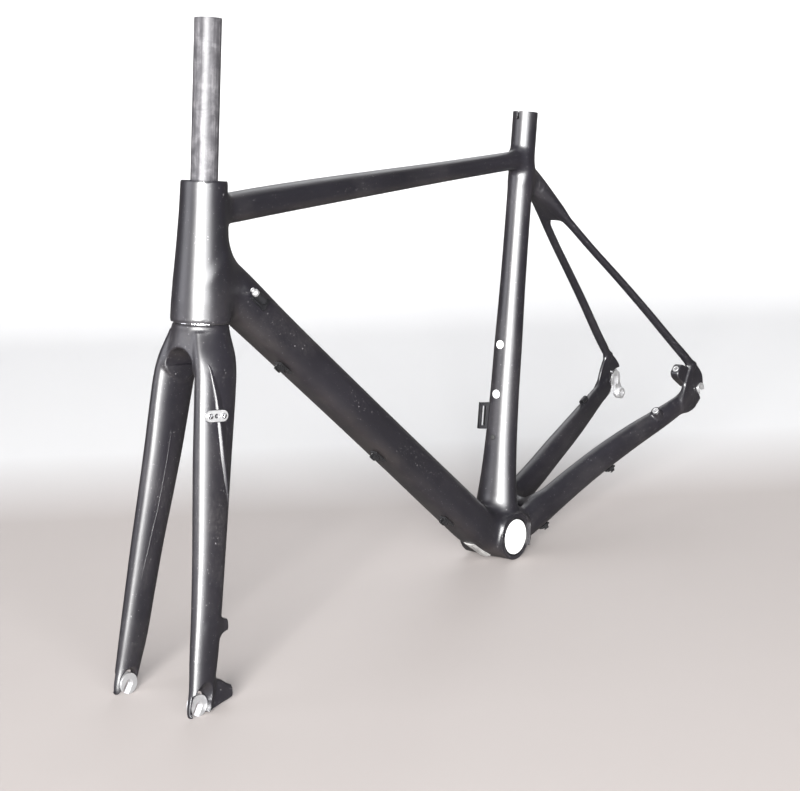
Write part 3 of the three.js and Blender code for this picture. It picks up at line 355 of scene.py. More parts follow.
def fork_field(p):
    """Signed distance, roughly, to the outside of the fork's carbon; points in the common frame."""
    q = fork_local(p)
    arch = capsule_cyl(q, (-70, 0, -44.5), (90, 0, -44.5), 19.2)
    below = np.maximum(np.abs(q[:, 1]) - 19.2, np.maximum(q[:, 2] + 44.5, -q[:, 2] - 130))
    d = smax(tube_of("crown")(q), -np.minimum(arch, below), 3.0)
    leg = tube_of("leg")
    d = smin(d, np.minimum(leg(q), leg(flip(q))), 5.0)
    # the wheel arch ends in a straight ledge on the inside of each leg
    d = smax(d, -np.maximum(arch, -44.8 - q[:, 2]), 1.2)
    low = np.nonzero(q[:, 2] < -300)[0]
    if len(low):
        w, e = q[low], d[low]
        m = np.stack([w[:, 0], np.abs(w[:, 1]), w[:, 2]], 1)
        # brake arms of the left leg
        s = m.copy()
        s_w = fork_world(w)
        arms = np.minimum(
            slab(s_w, round_poly([(592, 2), (574, 6), (563, 1), (555, -6), (546.9, -11), (546.9, -23.4), (553, -24.6), (566, -26), (580, -28.4), (592, -28.4)], 1), 48.4, 59.8, 2.4),
            slab(s_w, round_poly([(580, 70), (562, 66.5), (552, 64.2), (546.9, 63.2), (546.9, 50.8), (552, 50), (559, 48.6), (568, 44), (584, 42)], 1), 48.4, 59.8, 2.4))
        e = smin(e, arms, 5.0)
        inner = np.minimum(capsule_cyl(m, (44.3, 49.8, -390.7), (44.3, 20, -390.7), 12.6), capsule_cyl(m, (44.3, 50, -388.7), (41.8, 30, -374.7), 11.8))
        inner = np.minimum(inner, np.maximum(m[:, 1] - 49.8, np.maximum(np.abs(m[:, 0] - 44.3) - 12.4, m[:, 2] + 390.7)))
        outer = np.minimum(capsule_cyl(m, (44.3, 57.2, -390.7), (44.3, 90, -390.7), 12.6), capsule_cyl(m, (44.3, 57, -387.7), (41.3, 76, -370.7), 11.6))
        outer = np.minimum(outer, np.maximum(capsule_cyl(m, (44.3, 57.2, -390.7), (62, 73, -387), 12.0), 58.6 - m[:, 1]))
        e = smax(e, -np.minimum(inner, outer), 1.2)
        e = smax(e, -28.4 - s_w[:, 2], 2.5)
        d[low] = e
    return d


def skin_mesh(field, lo, hi, h, band=3):
    """Vertices, normals and quads of the zero surface of a field, found only where the surface is."""
    lo, hi = np.asarray(lo, float), np.asarray(hi, float)
    block = 8
    nb = np.ceil((hi - lo) / (h * block)).astype(int)
    n = nb * block
    grid = np.empty(n, np.float32)
    cidx = np.stack(np.meshgrid(*[np.arange(k) for k in nb], indexing="ij"), -1).reshape(-1, 3)
    centre = lo + (cidx + 0.5) * block * h
    cd = np.concatenate([field(c) for c in np.array_split(centre, max(1, len(centre) // 100000))])
    reach = 0.5 * math.sqrt(3) * block * h * 1.35 + band * h
    far = np.where(cd > 0, band * h, -band * h).astype(np.float32)
    view = grid.reshape(nb[0], block, nb[1], block, nb[2], block)
    view[...] = far.reshape(nb)[:, None, :, None, :, None]
    live = cidx[np.abs(cd) < reach]
    loc = np.stack(np.meshgrid(*[np.arange(block)] * 3, indexing="ij"), -1).reshape(-1, 3)
    for part in np.array_split(live, max(1, len(live) // 400)):
        ijk = part[:, None, :] * block + loc[None]
        d = field((lo + ijk.reshape(-1, 3) * h)).astype(np.float32)
        d = np.clip(d, -band * h, band * h).reshape(len(part), block, block, block)
        for b, blockd in zip(part, d):
            i, j, k = b
            view[i, :, j, :, k, :] = blockd
    vdb = openvdb.FloatGrid(band * h)
    vdb.copyFromArray(grid, tolerance=0.0)
    pts, tris, quads = vdb.convertToPolygons(isovalue=0.0, adaptivity=0.0)
    pts = lo + np.asarray(pts, float) * h
    for _ in range(3):
        d, g = value_and_slope(field, pts)
        pts = pts - g * np.clip(d, -h, h)[:, None] * 0.9
    return pts, np.asarray(tris, int).reshape(-1, 3), np.asarray(quads, int).reshape(-1, 4)


def value_and_slope(field, p, e=0.25, chunk=60000):
    """Field value divided by slope, and the unit gradient."""
    vals, grads = [], []
    for q in np.array_split(p, max(1, len(p) // chunk)):
        v = field(q)
        g = np.stack([(field(q + off) - field(q - off)) / (2 * e) for off in np.eye(3) * e], 1)
        l = np.maximum(np.linalg.norm(g, axis=1), 1e-6)
        vals.append(v / l)
        grads.append(g / l[:, None])
    return np.concatenate(vals), np.concatenate(grads)
# ---------------------------------------------------------------- mesh helpers
COLLECTION = bpy.context.scene.collection


def make(name, verts, faces, place=metres):
    mesh = bpy.data.meshes.new(name)
    mesh.from_pydata(place(verts).tolist(), [], [list(map(int, f)) for f in faces])
    mesh.validate()
    bm = bmesh.new()
    bm.from_mesh(mesh)
    bmesh.ops.recalc_face_normals(bm, faces=bm.faces)
    if bm.calc_volume(signed=True) < 0:
        bmesh.ops.reverse_faces(bm, faces=bm.faces)
    bm.to_mesh(mesh)
    bm.free()
    obj = bpy.data.objects.new(name, mesh)
    COLLECTION.objects.link(obj)
    return obj


def in_fork(verts):
    return metres(fork_world(verts))


def lathe(name, rows, origin, axis, seg=96, place=metres):
    """Closed turned piece: rows of radius, height; a radius of 0 closes an end."""
    origin, axis = np.asarray(origin, float), np.asarray(axis, float)
    axis = axis / np.linalg.norm(axis)
    ref = np.array([0, 0, 1.0]) if abs(axis[2]) < 0.8 else np.array([1.0, 0, 0])
    u = np.cross(ref, axis)
    u /= np.linalg.norm(u)
    v = np.cross(axis, u)
    verts, rings = [], []
    for r, h in rows:
        base = origin + axis * h
        if r < 1e-6:
            rings.append([len(verts)])
            verts.append(base)
        else:
            rings.append(list(range(len(verts), len(verts) + seg)))
            w = 2 * np.pi * np.arange(seg) / seg
            verts.extend(base + r * (np.cos(w)[:, None] * u + np.sin(w)[:, None] * v))
    faces = []
    closed = rows[0][0] > 1e-6
    pairs = list(zip(rings, rings[1:])) + ([(rings[-1], rings[0])] if closed else [])
    for a, b in pairs:
        for k in range(seg):
            j = (k + 1) % seg
            if len(a) == 1 and len(b) == 1:
                continue
            if len(a) == 1:
                faces.append((a[0], b[j], b[k]))
            elif len(b) == 1:
                faces.append((a[k], a[j], b[0]))
            else:
                faces.append((a[k], a[j], b[j], b[k]))
    return make(name, np.array(verts), faces, place)


def rod(name, r, a, b, seg=64, place=metres):
    a, b = np.asarray(a, float), np.asarray(b, float)
    n = np.linalg.norm(b - a)
    return lathe(name, [(0, 0), (r, 0), (r, n), (0, n)], a, b - a, seg, place)


def prism(name, pts, y0, y1, place=metres):
    """Outline in x, z pushed between two y values."""
    pts = np.asarray(pts, float)
    n = len(pts)
    verts = [(x, y0, z) for x, z in pts] + [(x, y1, z) for x, z in pts]
    faces = [tuple(range(n)), tuple(range(2 * n - 1, n - 1, -1))]
    faces += [(k, (k + 1) % n, n + (k + 1) % n, n + k) for k in range(n)]
    return make(name, np.array(verts), faces, place)


def block(name, size, centre, ax, ay, az, place=metres):
    """Box with its own axes."""
    sx, sy, sz = [s / 2 for s in size]
    c, ax, ay, az = [np.asarray(q, float) for q in (centre, ax, ay, az)]
    verts = [c + ax * sx * i + ay * sy * j + az * sz * k for k in (-1, 1) for j in (-1, 1) for i in (-1, 1)]
    faces = [(0, 1, 3, 2), (4, 6, 7, 5), (0, 4, 5, 1), (2, 3, 7, 6), (0, 2, 6, 4), (1, 5, 7, 3)]
    return make(name, np.array(verts), faces, place)


def disc_pts(x, z, r, seg=64):
    w = 2 * np.pi * np.arange(seg) / seg
    return np.stack([x + r * np.cos(w), z + r * np.sin(w)], 1)


def slot_pts(x, z, width, angle, length, seg=24):
    h = width / 2
    w = angle + np.pi / 2 + np.pi * np.arange(seg + 1) / seg
    out = [(x + h * math.cos(t), z + h * math.sin(t)) for t in w]
    dx, dz = math.cos(angle), math.sin(angle)
    out.append((x + dz * h + dx * length, z - dx * h + dz * length))
    out.append((x - dz * h + dx * length, z + dx * h + dz * length))
    return np.array(out)


def combine(obj, others, how="DIFFERENCE"):
    """Cut or join, with the tools removed afterwards."""
    for o in others:
        m = obj.modifiers.new("cut", "BOOLEAN")
        m.operation = how
        m.object = o
        m.solver = "MANIFOLD"
    dg = bpy.context.evaluated_depsgraph_get()
    dg.update()
    done = bpy.data.meshes.new_from_object(obj.evaluated_get(dg))
    if len(done.polygons) == 0:
        for m in obj.modifiers:
            m.solver = "EXACT"
        dg = bpy.context.evaluated_depsgraph_get()
        dg.update()
        done = bpy.data.meshes.new_from_object(obj.evaluated_get(dg))
    obj.modifiers.clear()
    old = obj.data
    obj.data = done
    done.name = obj.name
    bpy.data.meshes.remove(old)
    for o in others:
        bpy.data.objects.remove(o)
    return obj


def soften(obj, angle=32.0):
    """Smooth shading with creases where faces meet at more than an angle."""
    mesh = obj.data
    for name in ("sharp_face", "sharp_edge"):
        if name in mesh.attributes:
            mesh.attributes.remove(mesh.attributes[name])
    bm = bmesh.new()
    bm.from_mesh(mesh)
    for f in bm.faces:
        f.smooth = True
    lim = math.radians(angle)
    sharp = [e.index for e in bm.edges if len(e.link_faces) == 2 and e.calc_face_angle(0) > lim]
    n = len(bm.edges)
    bm.free()
    mesh.polygons.foreach_set("use_smooth", np.ones(len(mesh.polygons), bool))
    flags = np.zeros(n, bool)
    flags[sharp] = True
    att = mesh.attributes.new("sharp_edge", "BOOLEAN", "EDGE")
    att.data.foreach_set("value", flags)
    mesh.update()
    return obj


def true_normals(obj, field):
    """Gives the moulded surface its exact normals, so that highlights run smoothly; cut faces keep their own."""
    soften(obj, 35)
    mesh = obj.data
    n = len(mesh.vertices)
    co = np.zeros(n * 3, np.float32)
    mesh.vertices.foreach_get("co", co)
    p = co.reshape(-1, 3).astype(float) * 1000 - PLACE
    d, g = value_and_slope(field, p)
    loops = np.zeros(len(mesh.loops), np.int64)
    mesh.loops.foreach_get("vertex_index", loops)
    corner = np.zeros(len(mesh.loops) * 3, np.float32)
    mesh.corner_normals.foreach_get("vector", corner)
    corner = corner.reshape(-1, 3).astype(float)
    fn = np.zeros(len(mesh.polygons) * 3, np.float32)
    mesh.polygons.foreach_get("normal", fn)
    total = np.zeros(len(mesh.polygons), np.int64)
    mesh.polygons.foreach_get("loop_total", total)
    face_of = np.repeat(np.arange(len(total)), total)
    fnl = fn.reshape(-1, 3)[face_of]
    gl, dl = g[loops], np.abs(d[loops])
    use = (dl < 0.25) & ((gl * fnl).sum(1) > 0.8)
    corner[use] = gl[use]
    mesh.normals_split_custom_set(corner.tolist())
    return obj


def skin(name, field, lo, hi, h):
    v, t, q = skin_mesh(field, lo, hi, h)
    mesh = bpy.data.meshes.new(name)
    mesh.from_pydata(metres(v).tolist(), [], q[:, ::-1].tolist() + t[:, ::-1].tolist())
    bm = bmesh.new()
    bm.from_mesh(mesh)
    bmesh.ops.remove_doubles(bm, verts=bm.verts, dist=1e-7)
    if bm.calc_volume(signed=True) < 0:
        bmesh.ops.reverse_faces(bm, faces=bm.faces)
    bm.to_mesh(mesh)
    bm.free()
    obj = bpy.data.objects.new(name, mesh)
    COLLECTION.objects.link(obj)
    return obj


# ---------------------------------------------------------------- carbon skins
FINE = 1.0


def head_bore():
    rows = [(0, -30), (26.25, -30), (26.25, 8.2), (23.2, 11.2), (23.2, 40), (19.4, 100), (19.4, 134.2), (21.2, 137.4), (21.2, 170), (0, 170)]
    return lathe("tool", rows, on_steer(1.9), S, 96)


def half(side, plane_point, normal):
    """A big block on the side a normal points to."""
    n = np.asarray(normal, float)
    n = n / np.linalg.norm(n)
    u = SIDE if abs(n @ SIDE) < 0.9 else np.array([1.0, 0, 0])
    w = np.cross(n, u)
    c = np.asarray(plane_point, float) + n * 600
    return block("tool", (1200, 1200, 1200), c, n, u, w)


def frame_shell():
    obj = skin("frame_shell", frame_field, (-122, -46, -36), (546, 46, 572), 2.0 * FINE)
    tools = [
        half(1, on_seat(0, -27.2), -TF),
        lathe("tool", [(0, 0), (36, 0), (36, 60), (0, 60)], on_steer(1.9 - 60), S, 96),
        lathe("tool", [(0, 0), (44, 0), (44, 60), (0, 60)], on_steer(148.1), S, 96),
        head_bore(),
        rod("tool", 31.5, (0, 34.5, 0), (0, 60, 0), 96), rod("tool", 31.5, (0, -34.5, 0), (0, -60, 0), 96),
        rod("tool", 25.6, (0, -70, 0), (0, 70, 0), 96),
        rod("tool", 30, on_seat(544.9), on_seat(620), 64), rod("tool", 13.65, on_seat(300), on_seat(640), 80),
        block("tool", (9, 2.6, 11), on_seat(543.0, 16), TF, SIDE, T), rod("tool", 2.0, on_seat(536.4, 10), on_seat(536.4, 22), 32),
        rod("tool", 2.6, on_seat(126.5, 12.9), on_seat(126.5, 26), 32),
    ]
    for t, f in ((182.7, 18.0), (246.7, 17.5)):
        tools.append(rod("tool", 4.5, on_seat(t, f - 9), on_seat(t, f + 8), 48))
    for s in (236, 300):
        tools.append(rod("tool", 4.5, on_down(s, 14.6), on_down(s, 32), 48))
    combine(obj, tools)
    return true_normals(obj, frame_field)


def stay_shell():
    obj = skin("stay_shell", frame_field, (-345, -84, -30), (-14, 84, 490), 1.35 * FINE)
    tools = [half(1, on_seat(0, -27.0), TF), half(1, (-338, 0, 0), (-1, 0, 0)),
             rod("tool", 5.0, POST_LOW - POST_N * 12, POST_LOW + POST_N * 6, 48)]
    combine(obj, tools)
    return true_normals(obj, frame_field)


REAR_SLOT = math.radians(-90 - 7.93 - 18)
RIGHT_SLOT = math.radians(-90 - 7.93 + 12)
HANGER_SCREWS = [(-393.2, 132.2), (-387.2, 120.6)]


def rear_shell(side):
    left = side > 0
    name = "rear_shell_left" if left else "rear_shell_right"
    lo, hi = ((-424, 48, 78), (-332, 86, 222)) if left else ((-424, -86, 78), (-332, -48, 222))
    obj = skin(name, frame_field, lo, hi, 0.8 * FINE)
    tools = [half(1, (-337.8, 0, 0), (1, 0, 0))]
    x, z = AXLE[0], AXLE[2]
    if left:
        tools += [rod("tool", 8.5, (x, 60, z), (x, 84, z), 96),
                  prism("tool", slot_pts(x, z, 12.4, REAR_SLOT, 40), 58, 84),
                  rod("tool", 5.0, POST_UP - POST_N * 12, POST_UP + POST_N * 6, 48)]
    else:
        tools += [rod("tool", 11.6, (x, -84, z), (x, -60, z), 96)]
        for sx, sz in HANGER_SCREWS:
            tools += [rod("tool", 2.2, (sx, -84, sz), (sx, -60, sz), 32), rod("tool", 4.1, (sx, -69.6, sz), (sx, -58, sz), 40)]
    combine(obj, tools)
    return true_normals(obj, frame_field)


TIP_DIR = fork_local(CROWN + np.array([math.sin(math.radians(36)), 0, -math.cos(math.radians(36))]))[0]
FRONT_SLOT = math.atan2(TIP_DIR[2], TIP_DIR[0])
FRONT_POSTS = [fork_local((546.5, 54, 57))[0], fork_local((546.5, 54, -17.2))[0]]
FRONT_N = fork_local(CROWN + np.array([-1.0, 0, 0]))[0]
PLATE_T = np.array([math.cos(math.radians(14)), -math.sin(math.radians(14)), 0])
PLATE_N = np.array([math.sin(math.radians(14)), math.cos(math.radians(14)), 0])
PLATE_C = np.array([19.5, 46.6, -91.0])


def fork_shells():
    h = 1.6 * FINE
    top = skin("fork_shell", fork_field, (455, -76, 10), (640, 76, 385), h)
    tools = [half(1, fork_world((0, 0, 0))[0], S), half(1, fork_world((0, 0, -345))[0], -S),
             rod("tool", 17.3, fork_world((0, 0, -14.4))[0], fork_world((0, 0, 20))[0], 80), rod("tool", 8, fork_world((0, 0, -44))[0], fork_world((0, 0, 0))[0], 48),
             plate_pocket()]
    for a in (-8, 8):
        c = PLATE_C + PLATE_T * a
        tools.append(rod("tool", 1.9, c - PLATE_N * 9, c + PLATE_N * 4, 24, in_fork))
    combine(top, tools)
    true_normals(top, fork_field)
    out = [top]
    for side, name in ((1, "fork_shell_tip_left"), (-1, "fork_shell_tip_right")):
        lo, hi = ((540, 34, -34), (625, 80, 50)) if side > 0 else ((540, -80, -34), (625, -34, 50))
        tip = skin(name, fork_field, lo, (hi[0], hi[1], 86 if side > 0 else 60), 0.8 * FINE)
        x, z = FORK_AXLE[0], FORK_AXLE[2]
        y0, y1 = (30, 58) if side > 0 else (-58, -30)
        w0, w1 = (28, 84) if side > 0 else (-84, -28)
        tools = [half(1, fork_world((0, 0, -344.8))[0], S), rod("tool", 12, (x, y0, z), (x, y1, z), 96, in_fork),
                 prism("tool", slot_pts(x, z, 12.4, FRONT_SLOT, 40), w0, w1, in_fork)]
        if side > 0:
            for p in FRONT_POSTS:
                tools.append(rod("tool", 5.0, p - FRONT_N * 11, p + FRONT_N * 6, 48, in_fork))
        combine(tip, tools)
        true_normals(tip, fork_field)
        out.append(tip)
    return out


def obround(width, length, seg=24):
    w = np.pi * np.arange(seg + 1) / seg
    s = (length - width) / 2
    r = width / 2
    right = [(s + r * math.sin(t), r * math.cos(t)) for t in w]
    left = [(-s - r * math.sin(t), -r * math.cos(t)) for t in w]
    return np.array(right + left)


def on_plate(name, pts, n0, n1):
    """Outline in the hose plate's own plane pushed along its normal, fork-local."""
    n = len(pts)
    ring = [PLATE_C + PLATE_T * a + np.array([0, 0, 1.0]) * b for a, b in pts]
    verts = [p + PLATE_N * n0 for p in ring] + [p + PLATE_N * n1 for p in ring]
    faces = [tuple(range(n)), tuple(range(2 * n - 1, n - 1, -1))]
    faces += [(k, (k + 1) % n, n + (k + 1) % n, n + k) for k in range(n)]
    return make(name, np.array(verts), faces, in_fork)


def plate_pocket():
    return on_plate("tool", obround(13.2, 28.2), -1.3, 9)


# ---------------------------------------------------------------- materials
class Nodes:
    """Short hand for node trees."""

    def __init__(self, name):
        self.mat = bpy.data.materials.new(name)
        self.mat.use_nodes = True
        self.tree = self.mat.node_tree
        self.tree.nodes.clear()
        self.out = self.add("ShaderNodeOutputMaterial")
        self.bsdf = self.add("ShaderNodeBsdfPrincipled")
        self.link(self.bsdf.outputs[0], self.out.inputs["Surface"])
        self.coord = self.add("ShaderNodeTexCoord").outputs["Object"]

    def add(self, kind, **values):
        node = self.tree.nodes.new(kind)
        for k, v in values.items():
            setattr(node, k, v)
        return node

    def link(self, a, b):
        self.tree.links.new(a, b)
        return b

    def put(self, socket, value):
        if hasattr(value, "is_linked") or hasattr(value, "links"):
            self.link(value, socket)
        else:
            socket.default_value = value

    def mapping(self, scale=(1, 1, 1), rot=(0, 0, 0), loc=(0, 0, 0)):
        """Turned first, then scaled, so a stretched pattern runs along a turned axis."""
        m = self.add("ShaderNodeMapping", vector_type="TEXTURE")
        self.link(self.coord, m.inputs["Vector"])
        m.inputs["Scale"].default_value = tuple(1 / k for k in scale)
        m.inputs["Rotation"].default_value = rot
        m.inputs["Location"].default_value = loc
        return m.outputs[0]

    def noise(self, scale, detail=4, rough=0.55, vector=None, distortion=0.0):
        n = self.add("ShaderNodeTexNoise")
        self.link(vector or self.coord, n.inputs["Vector"])
        n.inputs["Scale"].default_value = scale
        n.inputs["Detail"].default_value = detail
        n.inputs["Roughness"].default_value = rough
        n.inputs["Distortion"].default_value = distortion
        return n.outputs["Fac"]

    def ramp(self, fac, stops):
        r = self.add("ShaderNodeValToRGB")
        self.link(fac, r.inputs["Fac"])
        el = r.color_ramp.elements
        while len(el) < len(stops):
            el.new(0.5)
        for e, (pos, col) in zip(el, stops):
            e.position = pos
            e.color = (*col, 1) if isinstance(col, (tuple, list)) else (col, col, col, 1)
        return r.outputs["Color"]

    def math(self, op, a, b=0.0, clamp=False):
        m = self.add("ShaderNodeMath", operation=op, use_clamp=clamp)
        self.put(m.inputs[0], a)
        self.put(m.inputs[1], b)
        return m.outputs[0]

    def mix(self, fac, a, b, blend="MIX"):
        m = self.add("ShaderNodeMix", data_type="RGBA", blend_type=blend)
        self.put(m.inputs["Factor"], fac)
        self.put(m.inputs[6], a if not isinstance(a, tuple) else (*a, 1))
        self.put(m.inputs[7], b if not isinstance(b, tuple) else (*b, 1))
        return m.outputs[2]

    def bump(self, height, strength, distance=0.001, normal=None):
        b = self.add("ShaderNodeBump")
        b.inputs["Strength"].default_value = strength
        b.inputs["Distance"].default_value = distance
        self.link(height, b.inputs["Height"])
        if normal is not None:
            self.link(normal, b.inputs["Normal"])
        return b.outputs[0]

    def rounded(self, radius, samples=4):
        b = self.add("ShaderNodeBevel", samples=samples)
        b.inputs["Radius"].default_value = radius
        return b.outputs[0]

    def sockets(self, **kw):
        for k, v in kw.items():
            self.put(self.bsdf.inputs[k.replace("_", " ")], v if not isinstance(v, tuple) else (*v, 1))
        return self.mat


def carbon_paint():
    """Satin black clear-coated carbon with handling dust, pale rub marks, fine scratches, and lighter grey-brown
    undersides that are partly dust and partly a painted reflection of the floor below.
    """
    n = Nodes("satin_carbon_looks")
    base = n.ramp(n.noise(9, 3, 0.5), [(0.3, (0.0062, 0.0057, 0.0080)), (0.7, (0.0100, 0.0090, 0.0125))])
    # dust that settles in patches, with separate specks
    patch = n.ramp(n.noise(7.5, 5, 0.62, distortion=0.6), [(0.50, 0.0), (0.80, 1.0)])
    fine = n.ramp(n.noise(320, 3, 0.7), [(0.46, 0.0), (0.72, 1.0)])
    dust = n.math("MULTIPLY", patch, n.math("ADD", n.math("MULTIPLY", fine, 0.65), 0.20), clamp=True)
    col = n.mix(n.math("MULTIPLY", dust, 0.42), base, (0.110, 0.100, 0.096))
    specks = n.ramp(n.noise(560, 1, 0.5), [(0.735, 0.0), (0.765, 1.0)])
    col = n.mix(n.math("MULTIPLY", specks, 0.60), col, (0.30, 0.29, 0.30))
    # lighter grey-brown on faces that look down, low or near the front: partly dust, partly a painted reflection of the
    # floor under them
    geo = n.add("ShaderNodeNewGeometry")
    split = n.add("ShaderNodeSeparateXYZ")
    n.link(geo.outputs["Normal"], split.inputs[0])
    down = n.math("MULTIPLY", n.math("SUBTRACT", -0.12, split.outputs["Z"]), 1.5, clamp=True)
    down = n.math("MULTIPLY", down, n.ramp(n.noise(14, 5, 0.65, distortion=0.4), [(0.36, 0.15), (0.68, 1.0)]))
    place = n.add("ShaderNodeSeparateXYZ")
    n.link(n.coord, place.inputs[0])
    low = n.math("MULTIPLY", n.math("SUBTRACT", 0.200, place.outputs["Z"]), 25.0, clamp=True)
    front = n.math("MULTIPLY", n.math("ADD", 0.055, place.outputs["X"]), 30.0, clamp=True)
    down = n.math("MULTIPLY", down, n.math("MAXIMUM", low, front))
    # painted reflection: mixes the floor's grey-brown into the faces that look down, together with dust
    col = n.mix(n.math("MULTIPLY", down, 0.46), col, (0.048, 0.040, 0.036))
    # long fine scratches in a few directions
    total = None
    for k, (rot, stretch) in enumerate((((0.2, 0.1, 0.35), (900, 26, 700)), ((1.1, 0.5, 1.9), (700, 18, 800)), ((0.4, 1.3, 2.6), (800, 700, 22)))):
        line = n.noise(1.0, 2, 0.5, n.mapping(stretch, rot, (k * 3.1, 0, 0)), 0.1)
        line = n.ramp(line, [(0.725, 0.0), (0.765, 1.0)])
        total = line if total is None else n.math("MAXIMUM", total, line)
    where = n.ramp(n.noise(11, 2, 0.5, n.mapping((1, 1, 1), (0, 0, 0), (4, 2, 1))), [(0.52, 0.0), (0.68, 1.0)])
    scratch = n.math("MULTIPLY", total, where)
    col = n.mix(n.math("MULTIPLY", scratch, 0.60), col, (0.20, 0.19, 0.19))
    rough = n.math("ADD", n.math("MULTIPLY", n.noise(26, 4, 0.6), 0.10), 0.325)
    rough = n.math("ADD", rough, n.math("MULTIPLY", dust, 0.26))
    rough = n.math("ADD", rough, n.math("MULTIPLY", scratch, 0.10), clamp=True)
    ripple = n.math("ADD", n.math("MULTIPLY", n.noise(55, 2, 0.4), 1.0), n.math("MULTIPLY", n.noise(900, 2, 0.6), 0.10))
    rounded = n.rounded(0.0007)
    normal = n.bump(ripple, 0.08, 0.0006, rounded)
    return n.sockets(Base_Color=col, Roughness=rough, Normal=normal, Specular_IOR_Level=1.0, IOR=1.5)


def bare_carbon():
    """Sanded, uncoated carbon tube: mottled grey, with grinding streaks along it and faint rings."""
    n = Nodes("raw_carbon_looks")
    streak = n.noise(1.0, 5, 0.68, n.mapping((260, 260, 7), (0, -TILT, 0)))
    rings = n.noise(1.0, 3, 0.6, n.mapping((14, 14, 200), (0, -TILT, 0)))
    blotch = n.noise(62, 5, 0.66, distortion=0.5)
    mixv = n.math("ADD", n.math("MULTIPLY", streak, 0.50), n.math("ADD", n.math("MULTIPLY", rings, 0.06), n.math("MULTIPLY", blotch, 0.44)))
    col = n.ramp(mixv, [(0.36, (0.020, 0.019, 0.022)), (0.50, (0.058, 0.056, 0.061)), (0.64, (0.165, 0.160, 0.168))])
    rough = n.math("ADD", n.math("MULTIPLY", streak, 0.26), 0.34)
    normal = n.bump(mixv, 0.28, 0.0005, n.rounded(0.0004))
    return n.sockets(Base_Color=col, Roughness=rough, Normal=normal, Metallic=0.10, Specular_IOR_Level=0.55)


def machined(name, base, rough, tint=0.07, radius=0.0004, metallic=1.0):
    """Machined or polished metal: fine tool marks, smudges and softened edges."""
    n = Nodes(name)
    marks = n.noise(1.0, 3, 0.6, n.mapping((2600, 160, 2600), (0.3, 0.1, 0.2)))
    smudge = n.noise(70, 4, 0.6)
    v = n.math("ADD", n.math("MULTIPLY", marks, 0.5), n.math("MULTIPLY", smudge, 0.5))
    lo = tuple(max(0.0, c * (1 - tint * 2.2)) for c in base)
    hi = tuple(min(1.0, c * (1 + tint)) for c in base)
    col = n.ramp(v, [(0.36, lo), (0.62, hi)])
    r = n.math("ADD", n.math("MULTIPLY", smudge, 0.22), rough - 0.08)
    normal = n.bump(marks, 0.16, 0.0002, n.rounded(radius))
    return n.sockets(Base_Color=col, Roughness=r, Normal=normal, Metallic=metallic)


def moulded(name, base, rough, radius=0.0005, grain=1800, strength=0.12, shade=0.10):
    """Injection-moulded plastic or rubber: slight grain, shade drift and soft edges."""
    n = Nodes(name)
    v = n.noise(90, 4, 0.6)
    lo = tuple(c * (1 - shade) for c in base)
    hi = tuple(min(1.0, c * (1 + shade * 0.6) + 0.002) for c in base)
    col = n.ramp(v, [(0.35, lo), (0.65, hi)])
    g = n.noise(grain, 2, 0.5)
    r = n.math("ADD", n.math("MULTIPLY", v, 0.12), rough - 0.06)
    normal = n.bump(g, strength, 0.0002, n.rounded(radius))
    return n.sockets(Base_Color=col, Roughness=r, Normal=normal, Specular_IOR_Level=0.5)


MATERIAL = {
    "satin_carbon": carbon_paint(),
    "raw_carbon": bare_carbon(),
    "bare_aluminium": machined("bare_aluminium_looks", (0.72, 0.72, 0.73), 0.34, metallic=0.8),
    "black_aluminium": machined("black_aluminium_looks", (0.028, 0.028, 0.031), 0.34, 0.2, metallic=0.55),
    "bright_steel": machined("bright_steel_looks", (0.74, 0.74, 0.76), 0.20, 0.05),
    "white_plastic": moulded("white_plastic_looks", (0.74, 0.74, 0.73), 0.42),
    "worn_plastic": moulded("worn_plastic_looks", (0.27, 0.265, 0.26), 0.5, shade=0.35),
    "black_plastic": moulded("black_plastic_looks", (0.014, 0.014, 0.015), 0.27, shade=0.2),
    "black_rubber": moulded("black_rubber_looks", (0.018, 0.018, 0.018), 0.75, shade=0.2),
}
SLOT_OF = {s["node"]: s["material_slot"] for s in frame["record"]["subparts"]}


def dress(obj, slot):
    obj.data.materials.clear()
    obj.data.materials.append(MATERIAL[slot])
    return obj


def piece(obj, body, slot, *nodes, angle=32.0, smooth=True, name=None):
    if name:
        obj.name = name
        obj.data.name = name
    if smooth:
        soften(obj, angle)
    dress(obj, slot)
    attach(obj, body)
    if nodes:
        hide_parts(*nodes)
    return obj


# ---------------------------------------------------------------- the CAD's own pieces
for node_name, node in frame["nodes"].items():
    soften(node, 28)
    dress(node, SLOT_OF[node_name])
dress(frame["nodes"]["cable_guide_plate"], "worn_plastic")

# ---------------------------------------------------------------- carbon
piece(frame_shell(), "frame", "satin_carbon", "head_tube", "bottom_bracket_shell", "top_tube", "seat_tube", "down_tube", smooth=False)
piece(stay_shell(), "frame", "satin_carbon", "seatstay_wishbone", "seatstay_left", "seatstay_right", "chainstay_left", "chainstay_right", smooth=False)
piece(rear_shell(1), "frame", "satin_carbon", "rear_end_left", smooth=False)
piece(rear_shell(-1), "frame", "satin_carbon", "rear_end_right", smooth=False)
fork_top, tip_left, tip_right = fork_shells()
piece(fork_top, "fork", "satin_carbon", "fork_crown", smooth=False)
piece(tip_left, "fork", "satin_carbon", "fork_leg_left", smooth=False)
piece(tip_right, "fork", "satin_carbon", "fork_leg_right", smooth=False)

